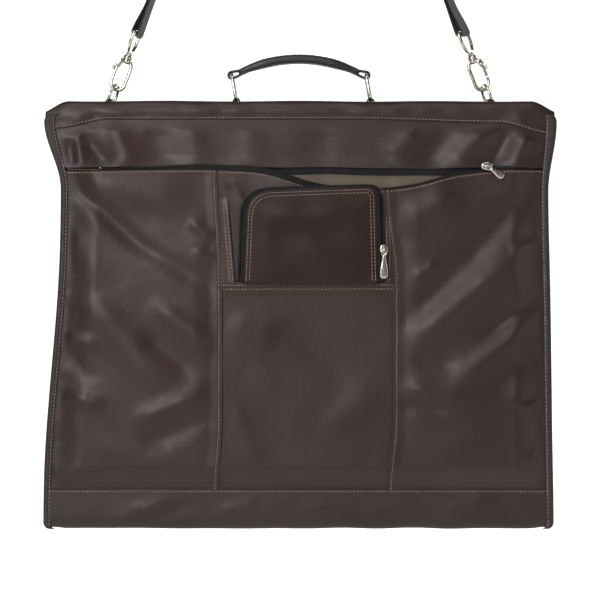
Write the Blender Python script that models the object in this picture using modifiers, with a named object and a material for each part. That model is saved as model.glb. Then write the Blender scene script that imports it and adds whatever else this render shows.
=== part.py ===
"""Bi-fold leather garment bag, folded, hanging from its shoulder strap.

Metres, +Z up, the bag's front towards -Y. The origin is under the middle of the shoulder pad.
Every shape is drawn with the bag's bottom at height 0, and one empty carries it all down to hang.
"""

import math

import bmesh
import bpy
from mathutils import Matrix, Vector

# Bag outline
BAG_TOP = 0.4824
HALF_WIDTH_BOTTOM = 0.2895
HALF_WIDTH_WAIST = 0.2765
HALF_WIDTH_EAR = 0.2905
WAIST_Z = 0.385
EAR_Z = 0.462
BINDING_WIDTH = 0.008
BINDING_WIDTH_EAR = 0.013
GAP = 0.0003

# Layers of one half, as distances from the middle plane
LEATHER = 0.0015
INNER_FACE = 0.003
OUTER_FACE = 0.027
TRIM_MIDDLE = OUTER_FACE + GAP + LEATHER / 2
GUSSET_INSET = 0.003
GUSSET_CORNER = 0.020
HALF_TOP = 0.4795
SIDE_TOP = 0.476
INNER_TOP = 0.470
GARMENT_TAPE_HALF = 0.010
CAP_BAND_FOOT = 0.456
BOTTOM_BAND_TOP = 0.045
FOOT_CLEAR = 0.0004
INNER_PANEL_INSET = 0.002
BINDING_RETURN = 0.020
GARMENT_TAPE_DEPTH = 0.0007

# Spine
SPINE_HALF_LENGTH = 0.275
SPINE_HALF_DEPTH = 0.027
SPINE_BOARD = 0.002

# Front pocket
POCKET_FOOT = 0.0456
POCKET_LIP = 0.404
POCKET_RISE = 0.0097
POCKET_SIDE_SLOPE = 0.034
POCKET_FOOT_SLOPE = 0.028
TAPE = 0.001
LIP_TAPE_TOP = 0.4105
REAR_TAPE_FOOT = 0.4119
REAR_TAPE_TOP = 0.420
POCKET_SLIDER_X = 0.211
POCKET_SLIDER_Z = 0.411
POCKET_PULLER_DROOP = math.radians(34)

# Pocket with the U-shaped zip
U_FOOT = 0.2815
U_LEFT = -0.064
U_LEFT_TOP = -0.060
U_RIGHT = 0.0885
U_RIGHT_TOP = 0.086
U_TOP_LEFT = 0.383
U_TOP_RIGHT = 0.388
U_BEND_LEFT = 0.030
U_BEND_RIGHT = 0.014
U_FRAME_DEPTH = 0.0047
U_FRAME_IN = 0.004
U_FRAME_OUT = 0.009
U_FRAME_LEFT = 0.006
U_FRAME_TOP = 0.0045
U_FLAP_TILT = math.radians(3)
U_FLAP_CLEAR = 0.0011
U_SLIDER_X = 0.094
U_SLIDER_Z = 0.316

# Shoulder strap
LEG_FOOT_X = 0.216
LEG_FOOT_Z = 0.4864
LEG_LEAN = math.radians(21)
LEAN_SIN = math.sin(LEG_LEAN)
LEAN_COS = math.cos(LEG_LEAN)
ARC_RADIUS = 0.085
ARC_Z = LEG_FOOT_Z + (LEG_FOOT_X * LEAN_COS - ARC_RADIUS) / LEAN_SIN
LEG_LENGTH = (ARC_Z + ARC_RADIUS * LEAN_SIN - LEG_FOOT_Z) / LEAN_COS
WEB_WIDTH = 0.038
WEB = 0.0018
WEB_LOOP = 0.0035
WEB_RETURN_OFFSET = -0.0026
WEB_TURN = {-1: math.radians(-5), 1: math.radians(18)}
WEB_RETURN_END = {-1: 0.290, 1: 0.135}
PAD = 0.010
PAD_WIDTH = 0.060
PAD_ARC = math.radians(56)
PAD_TOP_RADIUS = ARC_RADIUS - WEB / 2 - 0.0005
KEEPER_ARC = math.radians(44)
ADJUSTER_AT = 0.230
HANG_Z = ARC_Z + PAD_TOP_RADIUS - PAD

# Strap hardware, as distances along a leg from the ring's bar
RING_WIRE = 0.0017
RING_HALF = 0.013
RING_HEIGHT = 0.0210
RING_SHOULDER = 0.007
RING_TURN = math.radians(14)
HOOK_WIRE = 0.0020
BOW_RADIUS = 0.008
BOW_AT = 0.023
HOOK_TIP = 0.0274
GATE_AT = 0.0435
GATE_OUT = 0.0072
GATE_WIRE = 0.0016
PIN = 0.0010
PIN_HOLE = 0.0013
BARREL_FOOT = 0.047
BARREL_TOP = 0.057
BARREL_RADIUS = 0.0056
STEM_RADIUS = 0.0022
EYE_FOOT = 0.060
EYE_BAR = 0.084
EYE_HALF = 0.0217

# Carry handle
HANDLE_X = 0.004
HANDLE_HALF = 0.0765
HANDLE_BAR_Z = 0.487
HANDLE_LINK = 0.030
HANDLE_LEAN = math.radians(-10)
HANDLE_RING_WIRE = 0.0022
HANDLE_RING_HALF = 0.015
HANDLE_RING_BEND = 0.007
HANDLE_TAB_HALF = 0.011
GRIP_RISE = 0.0155
GRIP_HALF_LENGTH = 0.060
GRIP_HALF_DEPTH = 0.0081
GRIP_HALF_HEIGHT = 0.0038
CORE = 0.002
CORE_WIDTH = 0.010
CORE_LOOP = 0.0037

LEATHER_BROWN = ((0.060, 0.038, 0.033), 0.42, 0.0)
LEATHER_TRIM = ((0.048, 0.031, 0.028), 0.40, 0.0)
LEATHER_GREY = ((0.040, 0.040, 0.044), 0.45, 0.0)
LINING_TAN = ((0.110, 0.085, 0.070), 0.85, 0.0)
TAPE_BLACK = ((0.012, 0.012, 0.012), 0.90, 0.0)
WEBBING_BLACK = ((0.018, 0.018, 0.018), 0.80, 0.0)
NICKEL = ((0.620, 0.600, 0.530), 0.25, 1.0)
BOARD_GREY = ((0.200, 0.200, 0.200), 0.70, 0.0)

for old in list(bpy.data.objects):
    bpy.data.objects.remove(old, do_unlink=True)

SCENE = bpy.context.scene
HELPERS = bpy.data.collections.new("helpers")
HELPERS.hide_render = True
SCENE.collection.children.link(HELPERS)


def smooth(t):
    t = min(max(t, 0.0), 1.0)
    return t * t * (3 - 2 * t)


def mix(a, b, t):
    return a + (b - a) * t


def steps(start, end, count):
    return [mix(start, end, i / count) for i in range(count + 1)]


def half_width(z):
    """The bag's half width at height z: widest at the bottom and at the ears, narrowest between them."""
    if z < WAIST_Z:
        return mix(HALF_WIDTH_BOTTOM, HALF_WIDTH_WAIST, smooth(z / WAIST_Z))
    return mix(HALF_WIDTH_WAIST, HALF_WIDTH_EAR, smooth((z - WAIST_Z) / (EAR_Z - WAIST_Z)))


def binding_width(z):
    return mix(BINDING_WIDTH, BINDING_WIDTH_EAR, smooth((z - WAIST_Z) / (EAR_Z - WAIST_Z)))


EDGE_HEIGHTS = steps(0.0, WAIST_Z, 12) + steps(WAIST_Z, EAR_Z, 7)[1:]


def edge_rows(low, high):
    """Heights from low to high at which every sheet that follows the bag's edge has a row."""
    return [low] + [z for z in EDGE_HEIGHTS if low + 0.003 < z < high - 0.003] + [high]


def field_half(z):
    """Half the width left between the two side bindings."""
    return half_width(z) - binding_width(z) - GAP


def dress(obj, look):
    colour, roughness, metallic = look
    material = bpy.data.materials.new(obj.name + "_material")
    material.use_nodes = True
    shader = material.node_tree.nodes["Principled BSDF"]
    shader.inputs["Base Color"].default_value = (*colour, 1.0)
    shader.inputs["Roughness"].default_value = roughness
    shader.inputs["Metallic"].default_value = metallic
    obj.data.materials.append(material)
    return obj


def add(name, data):
    obj = bpy.data.objects.new(name, data)
    SCENE.collection.objects.link(obj)
    return obj


def set_pivot(obj, point):
    """Moves the object's origin to this point and leaves its shape where it is."""
    obj.data.transform(Matrix.Translation(-Vector(point)))
    obj.location = Vector(point)
    return obj


def axes(origin, x, y, z):
    matrix = Matrix((x, y, z)).transposed().to_4x4()
    matrix.translation = Vector(origin)
    return matrix


def sheet(name, us, vs, point, thickness, closed=False):
    """A sheet of this thickness, centred on the surface point(u, v) over the given stations."""
    mesh = bpy.data.meshes.new(name)
    grid = bmesh.new()
    bmesh.ops.create_grid(grid, x_segments=len(us) - 1, y_segments=len(vs) - 1, size=0.5)
    for vertex in grid.verts:
        i = round((vertex.co.x + 0.5) * (len(us) - 1))
        j = round((vertex.co.y + 0.5) * (len(vs) - 1))
        vertex.co = point(us[i], vs[j])
    if closed:
        bmesh.ops.remove_doubles(grid, verts=grid.verts, dist=1e-6)
    grid.to_mesh(mesh)
    grid.free()
    obj = add(name, mesh)
    solidify = obj.modifiers.new("thickness", "SOLIDIFY")
    solidify.thickness = thickness
    solidify.offset = 0.0
    solidify.use_even_offset = True
    return obj


def plate(name, outlines, thickness, matrix):
    """A flat plate: closed outlines in the matrix's XY plane, inner ones being holes."""
    curve = bpy.data.curves.new(name, "CURVE")
    curve.dimensions = "2D"
    curve.fill_mode = "BOTH"
    curve.extrude = thickness / 2
    for outline in outlines:
        spline = curve.splines.new("POLY")
        spline.points.add(len(outline) - 1)
        spline.use_cyclic_u = True
        for target, source in zip(spline.points, outline):
            target.co = (source[0], source[1], 0.0, 1.0)
    obj = add(name, curve)
    obj.matrix_basis = matrix
    return obj


def wire(name, points, radius, cyclic=False):
    curve = bpy.data.curves.new(name, "CURVE")
    curve.dimensions = "3D"
    curve.bevel_depth = radius
    curve.bevel_resolution = 2
    curve.use_fill_caps = True
    spline = curve.splines.new("POLY")
    spline.points.add(len(points) - 1)
    spline.use_cyclic_u = cyclic
    for target, source in zip(spline.points, points):
        target.co = (*source, 1.0)
    return add(name, curve)


def meshed(obj):
    """The same shape as a mesh object, so that a Boolean can take it."""
    graph = bpy.context.evaluated_depsgraph_get()
    mesh = bpy.data.meshes.new_from_object(obj.evaluated_get(graph))
    name = obj.name
    matrix = obj.matrix_basis.copy()
    bpy.data.objects.remove(obj, do_unlink=True)
    copy = add(name, mesh)
    copy.matrix_basis = matrix
    return copy


def rod(name, start, end, radius, sides=16):
    start = Vector(start)
    end = Vector(end)
    line = end - start
    turn = line.to_track_quat("Z", "Y").to_matrix().to_4x4()
    mesh = bpy.data.meshes.new(name)
    shape = bmesh.new()
    bmesh.ops.create_cone(
        shape, cap_ends=True, segments=sides, radius1=radius, radius2=radius, depth=line.length,
        matrix=Matrix.Translation((start + end) / 2) @ turn,
    )
    shape.to_mesh(mesh)
    shape.free()
    return add(name, mesh)


def block(name, low, high, bevel=0.0, matrix=None):
    """A box between two corners, in the matrix's axes."""
    size = Vector(high) - Vector(low)
    middle = (Vector(high) + Vector(low)) / 2
    mesh = bpy.data.meshes.new(name)
    shape = bmesh.new()
    bmesh.ops.create_cube(shape, size=1.0, matrix=Matrix.Translation(middle) @ Matrix.Diagonal((*size, 1.0)))
    shape.to_mesh(mesh)
    shape.free()
    obj = add(name, mesh)
    if matrix is not None:
        obj.matrix_basis = matrix
    if bevel:
        edge = obj.modifiers.new("edges", "BEVEL")
        edge.width = bevel
        edge.segments = 2
    return obj


def combine(obj, tool, operation):
    """Joins the tool to the object, or cuts it out. The tool moves to the helpers."""
    boolean = obj.modifiers.new(tool.name, "BOOLEAN")
    boolean.operation = operation
    boolean.solver = "EXACT"
    boolean.object = tool
    tool.display_type = "WIRE"
    tool.hide_render = True
    SCENE.collection.objects.unlink(tool)
    HELPERS.objects.link(tool)
    return obj


def rounded(corners, radii, closed=True, count=4):
    """The path through these corners, with each one turned in a smooth bend."""
    path = []
    last = len(corners) - 1
    for i, corner in enumerate(corners):
        corner = Vector(corner)
        if not closed and i in (0, last):
            path.append(corner)
            continue
        before = Vector(corners[i - 1])
        after = Vector(corners[(i + 1) % len(corners)])
        start = corner + (before - corner).normalized() * radii[i]
        end = corner + (after - corner).normalized() * radii[i]
        for t in steps(0.0, 1.0, count):
            path.append(start.lerp(corner, t).lerp(corner.lerp(end, t), t))
    return path


# ---------------------------------------------------------------- shoulder strap

def along(side):
    return Vector((-side * LEAN_SIN, 0.0, LEAN_COS))


def outward(side):
    return Vector((side * LEAN_COS, 0.0, LEAN_SIN))


def leg(side, t, out=0.0, depth=0.0):
    """A point by one strap leg: t along it from the ring's bar, and out away from the middle."""
    foot = Vector((side * LEG_FOOT_X, 0.0, LEG_FOOT_Z))
    return foot + along(side) * t + outward(side) * out + Vector((0.0, depth, 0.0))


def web_turn(side, t):
    return WEB_TURN[side] * (1 - smooth((t - EYE_BAR) / 0.2))


def web_axes(side, t):
    """The webbing's width and outer normal at t."""
    turn = web_turn(side, t)
    width = Vector((0.0, math.cos(turn), 0.0)) + outward(side) * math.sin(turn)
    normal = outward(side) * math.cos(turn) - Vector((0.0, math.sin(turn), 0.0))
    return width, normal


def web_station(side, t, offset):
    width, normal = web_axes(side, t)
    return leg(side, t) + normal * offset, width


def leg_stations(side):
    """From the end of the return layer, round the eye's bar and up to the arc."""
    found = []
    settle = 0.036
    for t in steps(WEB_RETURN_END[side], EYE_BAR + settle, 5):
        found.append(web_station(side, t, WEB_RETURN_OFFSET))
    for t in steps(settle * 0.75, settle * 0.25, 2):
        offset = mix(-WEB_LOOP, WEB_RETURN_OFFSET, smooth(t / settle))
        found.append(web_station(side, EYE_BAR + t, offset))
    for angle in steps(math.pi, 0.0, 8):
        down = WEB_LOOP * math.sin(angle)
        found.append(web_station(side, EYE_BAR - down, WEB_LOOP * math.cos(angle)))
    for t in steps(settle * 0.25, settle * 0.75, 2):
        found.append(web_station(side, EYE_BAR + t, mix(WEB_LOOP, 0.0, smooth(t / settle))))
    for t in steps(EYE_BAR + settle, LEG_LENGTH, 10):
        found.append(web_station(side, t, 0.0))
    return found


def arc_point(angle, radius, depth=0.0):
    return Vector((radius * math.sin(angle), depth, ARC_Z + radius * math.cos(angle)))


ARC_END = math.pi / 2 - LEG_LEAN
stations = leg_stations(-1)
for arc_angle in steps(-ARC_END, ARC_END, 16)[1:-1]:
    stations.append((arc_point(arc_angle, ARC_RADIUS), Vector((0.0, 1.0, 0.0))))
stations += leg_stations(1)[::-1]
webbing = sheet(
    "strap_webbing", range(len(stations)), (-0.5, 0.5),
    lambda i, v: stations[i][0] + stations[i][1] * (v * WEB_WIDTH), WEB,
)
dress(webbing, WEBBING_BLACK)

pad = sheet(
    "shoulder_pad", steps(-PAD_ARC, PAD_ARC, 14), steps(-PAD_WIDTH / 2, PAD_WIDTH / 2, 2),
    lambda a, y: arc_point(a, PAD_TOP_RADIUS - PAD / 2, y), PAD,
)
pad_edge = pad.modifiers.new("edges", "BEVEL")
pad_edge.width = 0.003
pad_edge.segments = 2
pad_edge.angle_limit = math.radians(60)
dress(set_pivot(pad, (0.0, 0.0, ARC_Z)), LEATHER_GREY)

KEEPER_HALF = WEB_WIDTH / 2 + 0.0019
KEEPER_TOP = ARC_RADIUS + WEB / 2 + 0.0012
keeper_section = rounded(
    [
        (-KEEPER_HALF, PAD_TOP_RADIUS + GAP, 0.0),
        (-KEEPER_HALF, KEEPER_TOP, 0.0),
        (KEEPER_HALF, KEEPER_TOP, 0.0),
        (KEEPER_HALF, PAD_TOP_RADIUS + GAP, 0.0),
    ],
    [0.0008] * 4, closed=False, count=2,
)
for side, word in ((-1, "left"), (1, "right")):
    middle = side * KEEPER_ARC
    reach = 0.006 / ARC_RADIUS
    keeper = sheet(
        "pad_keeper_" + word, range(len(keeper_section)), steps(middle - reach, middle + reach, 2),
        lambda i, a: arc_point(a, keeper_section[i].y, keeper_section[i].x), 0.0012,
    )
    dress(set_pivot(keeper, (0.0, 0.0, ARC_Z)), LEATHER_GREY)

adjuster_width, adjuster_normal = web_axes(-1, ADJUSTER_AT)
adjuster_frame = axes(
    leg(-1, ADJUSTER_AT) + adjuster_normal * (WEB_RETURN_OFFSET / 2),
    adjuster_width, -adjuster_normal, along(-1),
)


def adjuster_outline(grow):
    a = WEB_WIDTH / 2 + 0.0012 + grow
    b = 0.0029 + grow
    return rounded([(-a, -b, 0), (a, -b, 0), (a, b, 0), (-a, b, 0)], [0.0008 + grow / 2] * 4, count=2)


adjuster = plate("strap_adjuster", [adjuster_outline(0.0022), adjuster_outline(0.0)], 0.016, adjuster_frame)
dress(adjuster, NICKEL)


# ---------------------------------------------------------------- swivels, snap hooks and their gates

EYE_BEND = 0.004
EYE_HEAD_RADIUS = 0.0038
EYE_HEAD_DROP = 0.0034
EYE_HEAD_GAP = 0.0006
CHEEK_NEAR = 0.0023
CHEEK_FAR = 0.0039
CHEEK_IN = 0.0041
CHEEK_OUT = 0.0102
CHEEK_BELOW = 0.003
CHEEK_ABOVE = 0.007
PIN_HALF_LENGTH = 0.0046
GATE_KNUCKLE_HALF = 0.0019
GATE_KNUCKLE_RADIUS = 0.0028
KNOB_AT = 0.0385
KNOB_RADIUS = 0.0021
KNOB_REACH = (0.0075, 0.0118)
CLEAR = 0.0004
CUT_OVER = 0.01


def build_hook(side, word):
    width, normal = web_axes(side, EYE_BAR)
    eye_corners = [
        leg(side, EYE_FOOT) - width * EYE_HALF,
        leg(side, EYE_FOOT) + width * EYE_HALF,
        leg(side, EYE_BAR) + width * EYE_HALF,
        leg(side, EYE_BAR) - width * EYE_HALF,
    ]
    eye_path = rounded(eye_corners, [EYE_BEND] * 4, count=3)
    eye = meshed(wire("swivel_eye_" + word, eye_path, STEM_RADIUS, cyclic=True))
    stem = rod("eye_stem_" + word, leg(side, BARREL_FOOT - 0.002), leg(side, EYE_FOOT), STEM_RADIUS, 12)
    head_foot = leg(side, BARREL_FOOT - EYE_HEAD_DROP)
    head_top = leg(side, BARREL_FOOT - EYE_HEAD_GAP)
    head = rod("eye_head_" + word, head_foot, head_top, EYE_HEAD_RADIUS)
    combine(eye, stem, "UNION")
    combine(eye, head, "UNION")
    dress(eye, NICKEL)

    path = [leg(side, 0.052, -0.0045), leg(side, 0.0475, -0.0068), leg(side, 0.043, -BOW_RADIUS)]
    path.append(leg(side, 0.033, -BOW_RADIUS))
    for angle in steps(0.0, math.pi, 12):
        path.append(leg(side, BOW_AT - BOW_RADIUS * math.sin(angle), -BOW_RADIUS * math.cos(angle)))
    path.append(leg(side, HOOK_TIP, BOW_RADIUS))
    hook = meshed(wire("snap_hook_" + word, path, HOOK_WIRE))
    barrel = rod("barrel_" + word, leg(side, BARREL_FOOT), leg(side, BARREL_TOP), BARREL_RADIUS, 20)
    combine(hook, barrel, "UNION")
    cheek_axes = axes(leg(side, 0.0), outward(side) * side, Vector((0.0, 1.0, 0.0)), along(side))
    for face, low, high in (("near", -CHEEK_FAR, -CHEEK_NEAR), ("far", CHEEK_NEAR, CHEEK_FAR)):
        a = CHEEK_IN * side
        b = CHEEK_OUT * side
        cheek_low = (min(a, b), low, GATE_AT - CHEEK_BELOW)
        cheek_high = (max(a, b), high, GATE_AT + CHEEK_ABOVE)
        cheek = block("cheek_" + word + "_" + face, cheek_low, cheek_high, matrix=cheek_axes)
        combine(hook, cheek, "UNION")
    bore_foot = leg(side, BARREL_FOOT - CUT_OVER)
    bore_top = leg(side, BARREL_TOP + CUT_OVER)
    bore = rod("barrel_bore_" + word, bore_foot, bore_top, STEM_RADIUS + CLEAR)
    combine(hook, bore, "DIFFERENCE")
    pin_low = leg(side, GATE_AT, GATE_OUT, -0.006)
    pin_high = leg(side, GATE_AT, GATE_OUT, 0.006)
    combine(hook, rod("pin_hole_" + word, pin_low, pin_high, PIN_HOLE), "DIFFERENCE")
    dress(set_pivot(hook, leg(side, BARREL_TOP)), NICKEL)

    pin_near = leg(side, GATE_AT, GATE_OUT, -PIN_HALF_LENGTH)
    pin_far = leg(side, GATE_AT, GATE_OUT, PIN_HALF_LENGTH)
    dress(rod("gate_pin_" + word, pin_near, pin_far, PIN, 12), NICKEL)

    knuckle_near = leg(side, GATE_AT, GATE_OUT, -GATE_KNUCKLE_HALF)
    knuckle_far = leg(side, GATE_AT, GATE_OUT, GATE_KNUCKLE_HALF)
    gate = rod("hook_gate_" + word, knuckle_near, knuckle_far, GATE_KNUCKLE_RADIUS)
    bar_end = leg(side, HOOK_TIP + 0.0006, BOW_RADIUS)
    bar = rod("gate_bar_" + word, leg(side, GATE_AT, GATE_OUT), bar_end, GATE_WIRE, 10)
    combine(gate, bar, "UNION")
    knob_foot = leg(side, KNOB_AT, KNOB_REACH[0])
    knob_top = leg(side, KNOB_AT, KNOB_REACH[1])
    combine(gate, rod("gate_knob_" + word, knob_foot, knob_top, KNOB_RADIUS, 10), "UNION")
    combine(gate, rod("gate_hole_" + word, pin_low, pin_high, PIN_HOLE), "DIFFERENCE")
    dress(set_pivot(gate, leg(side, GATE_AT, GATE_OUT)), NICKEL)


# ---------------------------------------------------------------- spine, tabs and rings

HUMP_WALL = 0.0013
HUMP_END = 0.0012
HUMP_CROWN = 0.0045
HUMP_BENDS = (0.0004, 0.0004, 0.0008, 0.003, 0.003, 0.0008)
BOARD_END_MARGIN = 0.005
BOARD_SIDE_MARGIN = 0.002


def hump(name, x, bar_z, hole, half_length, turn):
    """A low leather bridge on the spine, with a hole for the bar of a ring."""
    foot = BAG_TOP + GAP
    top = bar_z + hole + HUMP_WALL
    corners = [(-half_length, 0), (half_length, 0), (half_length, HUMP_END), (HUMP_CROWN, top - foot)]
    corners += [(-HUMP_CROWN, top - foot), (-half_length, HUMP_END)]
    outer = rounded([(a, b, 0.0) for a, b in corners], HUMP_BENDS, count=3)
    inner = []
    for angle in steps(0.0, 2 * math.pi, 16)[:-1]:
        inner.append((hole * math.cos(angle), bar_z - foot + hole * math.sin(angle), 0.0))
    right = Vector((math.cos(turn), math.sin(turn), 0.0))
    back = Vector((-math.sin(turn), math.cos(turn), 0.0))
    matrix = axes((x, 0.0, foot), right, Vector((0.0, 0.0, 1.0)), -back)
    return plate(name, [outer, inner], 0.018, matrix)


def build_ring(side, word):
    """The D-ring that the strap clips to, leaning along the strap's leg."""
    turn = side * RING_TURN
    bar = Vector((-math.sin(turn), math.cos(turn), 0.0))
    up = (along(side) - bar * along(side).dot(bar)).normalized()
    foot = leg(side, 0.0)
    path = []
    for a, b in ((-RING_HALF, 0.0), (RING_HALF, 0.0)):
        corner_in = foot + bar * (a * 0.8) + up * b
        corner_out = foot + bar * a + up * (b + 0.0026)
        path += [corner_in, corner_out] if a > 0 else [corner_out, corner_in]
    for angle in steps(0.0, math.pi, 14):
        reach = RING_HALF * math.cos(angle)
        rise = RING_SHOULDER + (RING_HEIGHT - RING_SHOULDER) * math.sin(angle)
        path.append(foot + bar * reach + up * rise)
    ring = wire("d_ring_" + word, path, RING_WIRE, cyclic=True)
    dress(set_pivot(ring, foot), NICKEL)
    tab = hump("ring_tab_" + word, side * LEG_FOOT_X, LEG_FOOT_Z, RING_WIRE + 0.0004, 0.0115, turn)
    dress(tab, LEATHER_GREY)


for side, word in ((-1, "left"), (1, "right")):
    build_hook(side, word)
    build_ring(side, word)

spine_band_z = BAG_TOP - LEATHER / 2
spine_xs = steps(-SPINE_HALF_LENGTH, SPINE_HALF_LENGTH, 8)
spine_ys = steps(-SPINE_HALF_DEPTH, SPINE_HALF_DEPTH, 2)
spine_band = sheet("spine_band", spine_xs, spine_ys, lambda x, y: (x, y, spine_band_z), LEATHER)
dress(spine_band, LEATHER_TRIM)
board_top = BAG_TOP - LEATHER - GAP
board_x = SPINE_HALF_LENGTH - BOARD_END_MARGIN
board_y = SPINE_HALF_DEPTH - BOARD_SIDE_MARGIN
spine_board = block(
    "spine_board", (-board_x, -board_y, board_top - SPINE_BOARD), (board_x, board_y, board_top), 0.0005,
)
dress(spine_board, BOARD_GREY)


# ---------------------------------------------------------------- carry handle

HANDLE_RISE = Vector((math.sin(HANDLE_LEAN), 0.0, math.cos(HANDLE_LEAN)))


def handle_bar(side):
    return Vector((HANDLE_X + side * HANDLE_HALF, 0.0, HANDLE_BAR_Z))


def handle_top(side):
    return handle_bar(side) + HANDLE_RISE * HANDLE_LINK


for side, word in ((-1, "left"), (1, "right")):
    across = Vector((0.0, HANDLE_RING_HALF, 0.0))
    ring_corners = [
        handle_bar(side) - across,
        handle_bar(side) + across,
        handle_top(side) + across,
        handle_top(side) - across,
    ]
    ring_path = rounded(ring_corners, [HANDLE_RING_BEND] * 4, count=5)
    handle_ring = wire("handle_ring_" + word, ring_path, HANDLE_RING_WIRE, cyclic=True)
    dress(set_pivot(handle_ring, handle_bar(side)), NICKEL)
    bar_x = HANDLE_X + side * HANDLE_HALF
    tab_hole = HANDLE_RING_WIRE + CLEAR
    handle_tab = hump("handle_tab_" + word, bar_x, HANDLE_BAR_Z, tab_hole, HANDLE_TAB_HALF, 0.0)
    dress(handle_tab, LEATHER_GREY)

GRIP_MIDDLE = (handle_top(-1) + handle_top(1)) / 2


def grip_line(x, depth=0.0, rise=0.0):
    """A point by the grip's arched centre line, x from its middle."""
    share = x / HANDLE_HALF
    slope = -2 * GRIP_RISE * share / HANDLE_HALF
    normal = Vector((-slope, 0.0, 1.0)).normalized()
    middle = GRIP_MIDDLE + Vector((x, depth, GRIP_RISE * (1 - share * share)))
    return middle + normal * rise


def grip_swell(x):
    """The grip thins a little towards its ends."""
    return 1.0 - 0.16 * smooth((abs(x) / GRIP_HALF_LENGTH - 0.55) / 0.45)


def grip_point(x, angle):
    swell = grip_swell(x)
    return grip_line(x, GRIP_HALF_DEPTH * swell * math.cos(angle), GRIP_HALF_HEIGHT * swell * math.sin(angle))


grip = sheet(
    "handle_grip", steps(-GRIP_HALF_LENGTH, GRIP_HALF_LENGTH, 14), steps(0.0, 2 * math.pi, 16),
    grip_point, 0.0018, closed=True,
)
dress(set_pivot(grip, handle_top(-1)), LEATHER_GREY)


def core_end(side):
    """The core from its cut end, round one ring's top bar and up to the start of the grip."""
    path = [grip_line(side * 0.0625, 0.0, -0.0040), grip_line(side * 0.069, 0.0, -0.0040)]
    for angle in steps(-math.pi / 2, math.pi / 2, 10):
        reach = Vector((side * CORE_LOOP * math.cos(angle), 0.0, CORE_LOOP * math.sin(angle)))
        path.append(handle_top(side) + reach)
    path.append(grip_line(side * 0.0685, 0.0, 0.0014))
    return path


core_path = core_end(-1)
for x in steps(-GRIP_HALF_LENGTH, GRIP_HALF_LENGTH, 12):
    core_path.append(grip_line(x))
core_path += core_end(1)[::-1]
core = sheet(
    "handle_core", range(len(core_path)), (-CORE_WIDTH / 2, CORE_WIDTH / 2),
    lambda i, y: core_path[i] + Vector((0.0, y, 0.0)), CORE,
)
dress(set_pivot(core, handle_top(-1)), LEATHER_GREY)


# ---------------------------------------------------------------- the two halves of the bag

FRONT_FOLD = (0.0, -(OUTER_FACE + 0.0006), 0.4806)
REAR_FOLD = (0.0, OUTER_FACE + 0.0006, 0.4806)


def gusset_path():
    """The gusset's line across the bag: down one side, round the corner and half the bottom."""
    path = []
    for z in edge_rows(GUSSET_CORNER + LEATHER / 2, SIDE_TOP)[::-1]:
        path.append((half_width(z) - GUSSET_INSET, z))
    corner_x = path[-1][0] - GUSSET_CORNER
    for angle in steps(0.0, math.pi / 2, 6)[1:]:
        reach = GUSSET_CORNER * math.cos(angle)
        path.append((corner_x + reach, LEATHER / 2 + GUSSET_CORNER * (1 - math.sin(angle))))
    return [(-x, z) for x, z in path] + path[::-1]


def build_half(word, face, pivot):
    """One half of the bag. face is -1 for the front and 1 for the rear."""
    outer = sheet(
        word + "_outer_panel", steps(-1.0, 1.0, 8), edge_rows(0.0004, HALF_TOP),
        lambda u, z: (u * (half_width(z) - 0.002), face * (OUTER_FACE - LEATHER / 2), z), LEATHER,
    )
    dress(set_pivot(outer, pivot), LEATHER_BROWN)
    for side, side_word in ((-1, "left"), (1, "right")):
        inner = sheet(
            word + "_inner_panel_" + side_word, steps(0.0, 1.0, 4), edge_rows(FOOT_CLEAR, INNER_TOP),
            lambda u, z: (
                side * mix(GARMENT_TAPE_HALF + GAP, half_width(z) - INNER_PANEL_INSET, u),
                face * (INNER_FACE + LEATHER / 2),
                z,
            ),
            LEATHER,
        )
        dress(set_pivot(inner, pivot), LINING_TAN)
        binding_section = (0.0, 1.0, 2.0)
        binding = sheet(
            word + "_binding_" + side_word, binding_section, edge_rows(0.002, SIDE_TOP),
            lambda part, z: (
                side * (half_width(z) - (binding_width(z) if part == 0.0 else LEATHER / 2)),
                face * (BINDING_RETURN if part == 2.0 else TRIM_MIDDLE),
                z,
            ),
            LEATHER,
        )
        dress(set_pivot(binding, pivot), LEATHER_TRIM)
    tape = sheet(
        word + "_zip_tape", (-GARMENT_TAPE_HALF, GARMENT_TAPE_HALF), steps(FOOT_CLEAR, INNER_TOP, 2),
        lambda x, z: (x, face * (INNER_FACE + GARMENT_TAPE_DEPTH), z), TAPE,
    )
    dress(set_pivot(tape, pivot), TAPE_BLACK)
    path = gusset_path()
    gusset = sheet(
        word + "_gusset", range(len(path)), (INNER_FACE + LEATHER + GAP, OUTER_FACE - LEATHER - GAP),
        lambda i, y: (path[i][0], face * y, path[i][1]), LEATHER,
    )
    dress(set_pivot(gusset, pivot), LEATHER_TRIM)
    bands = (("_cap_band", CAP_BAND_FOOT, HALF_TOP), ("_bottom_band", FOOT_CLEAR, BOTTOM_BAND_TOP))
    for band, low, high in bands:
        strip = sheet(
            word + band, steps(-1.0, 1.0, 8), edge_rows(low, high),
            lambda u, z: (u * field_half(z), face * TRIM_MIDDLE, z), LEATHER,
        )
        dress(set_pivot(strip, pivot), LEATHER_TRIM)


build_half("front", -1, FRONT_FOLD)
build_half("rear", 1, REAR_FOLD)


# ---------------------------------------------------------------- front pocket

def seam_left(z):
    return -0.088 - 0.010 * smooth((z - 0.279) / 0.133) - 0.0047 * smooth((0.124 - z) / 0.079)


def seam_right(z):
    return 0.105 - 0.010 * smooth((z - 0.279) / 0.109) - 0.0056 * smooth((0.124 - z) / 0.079)


def pocket_y(x, z):
    """The pocket wall stands off the bag, and slopes back to it at its sides and foot."""
    from_side = (field_half(z) - abs(x)) / POCKET_SIDE_SLOPE
    from_foot = (z - POCKET_FOOT) / POCKET_FOOT_SLOPE
    return -TRIM_MIDDLE - POCKET_RISE * smooth(min(from_side, from_foot))


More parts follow.
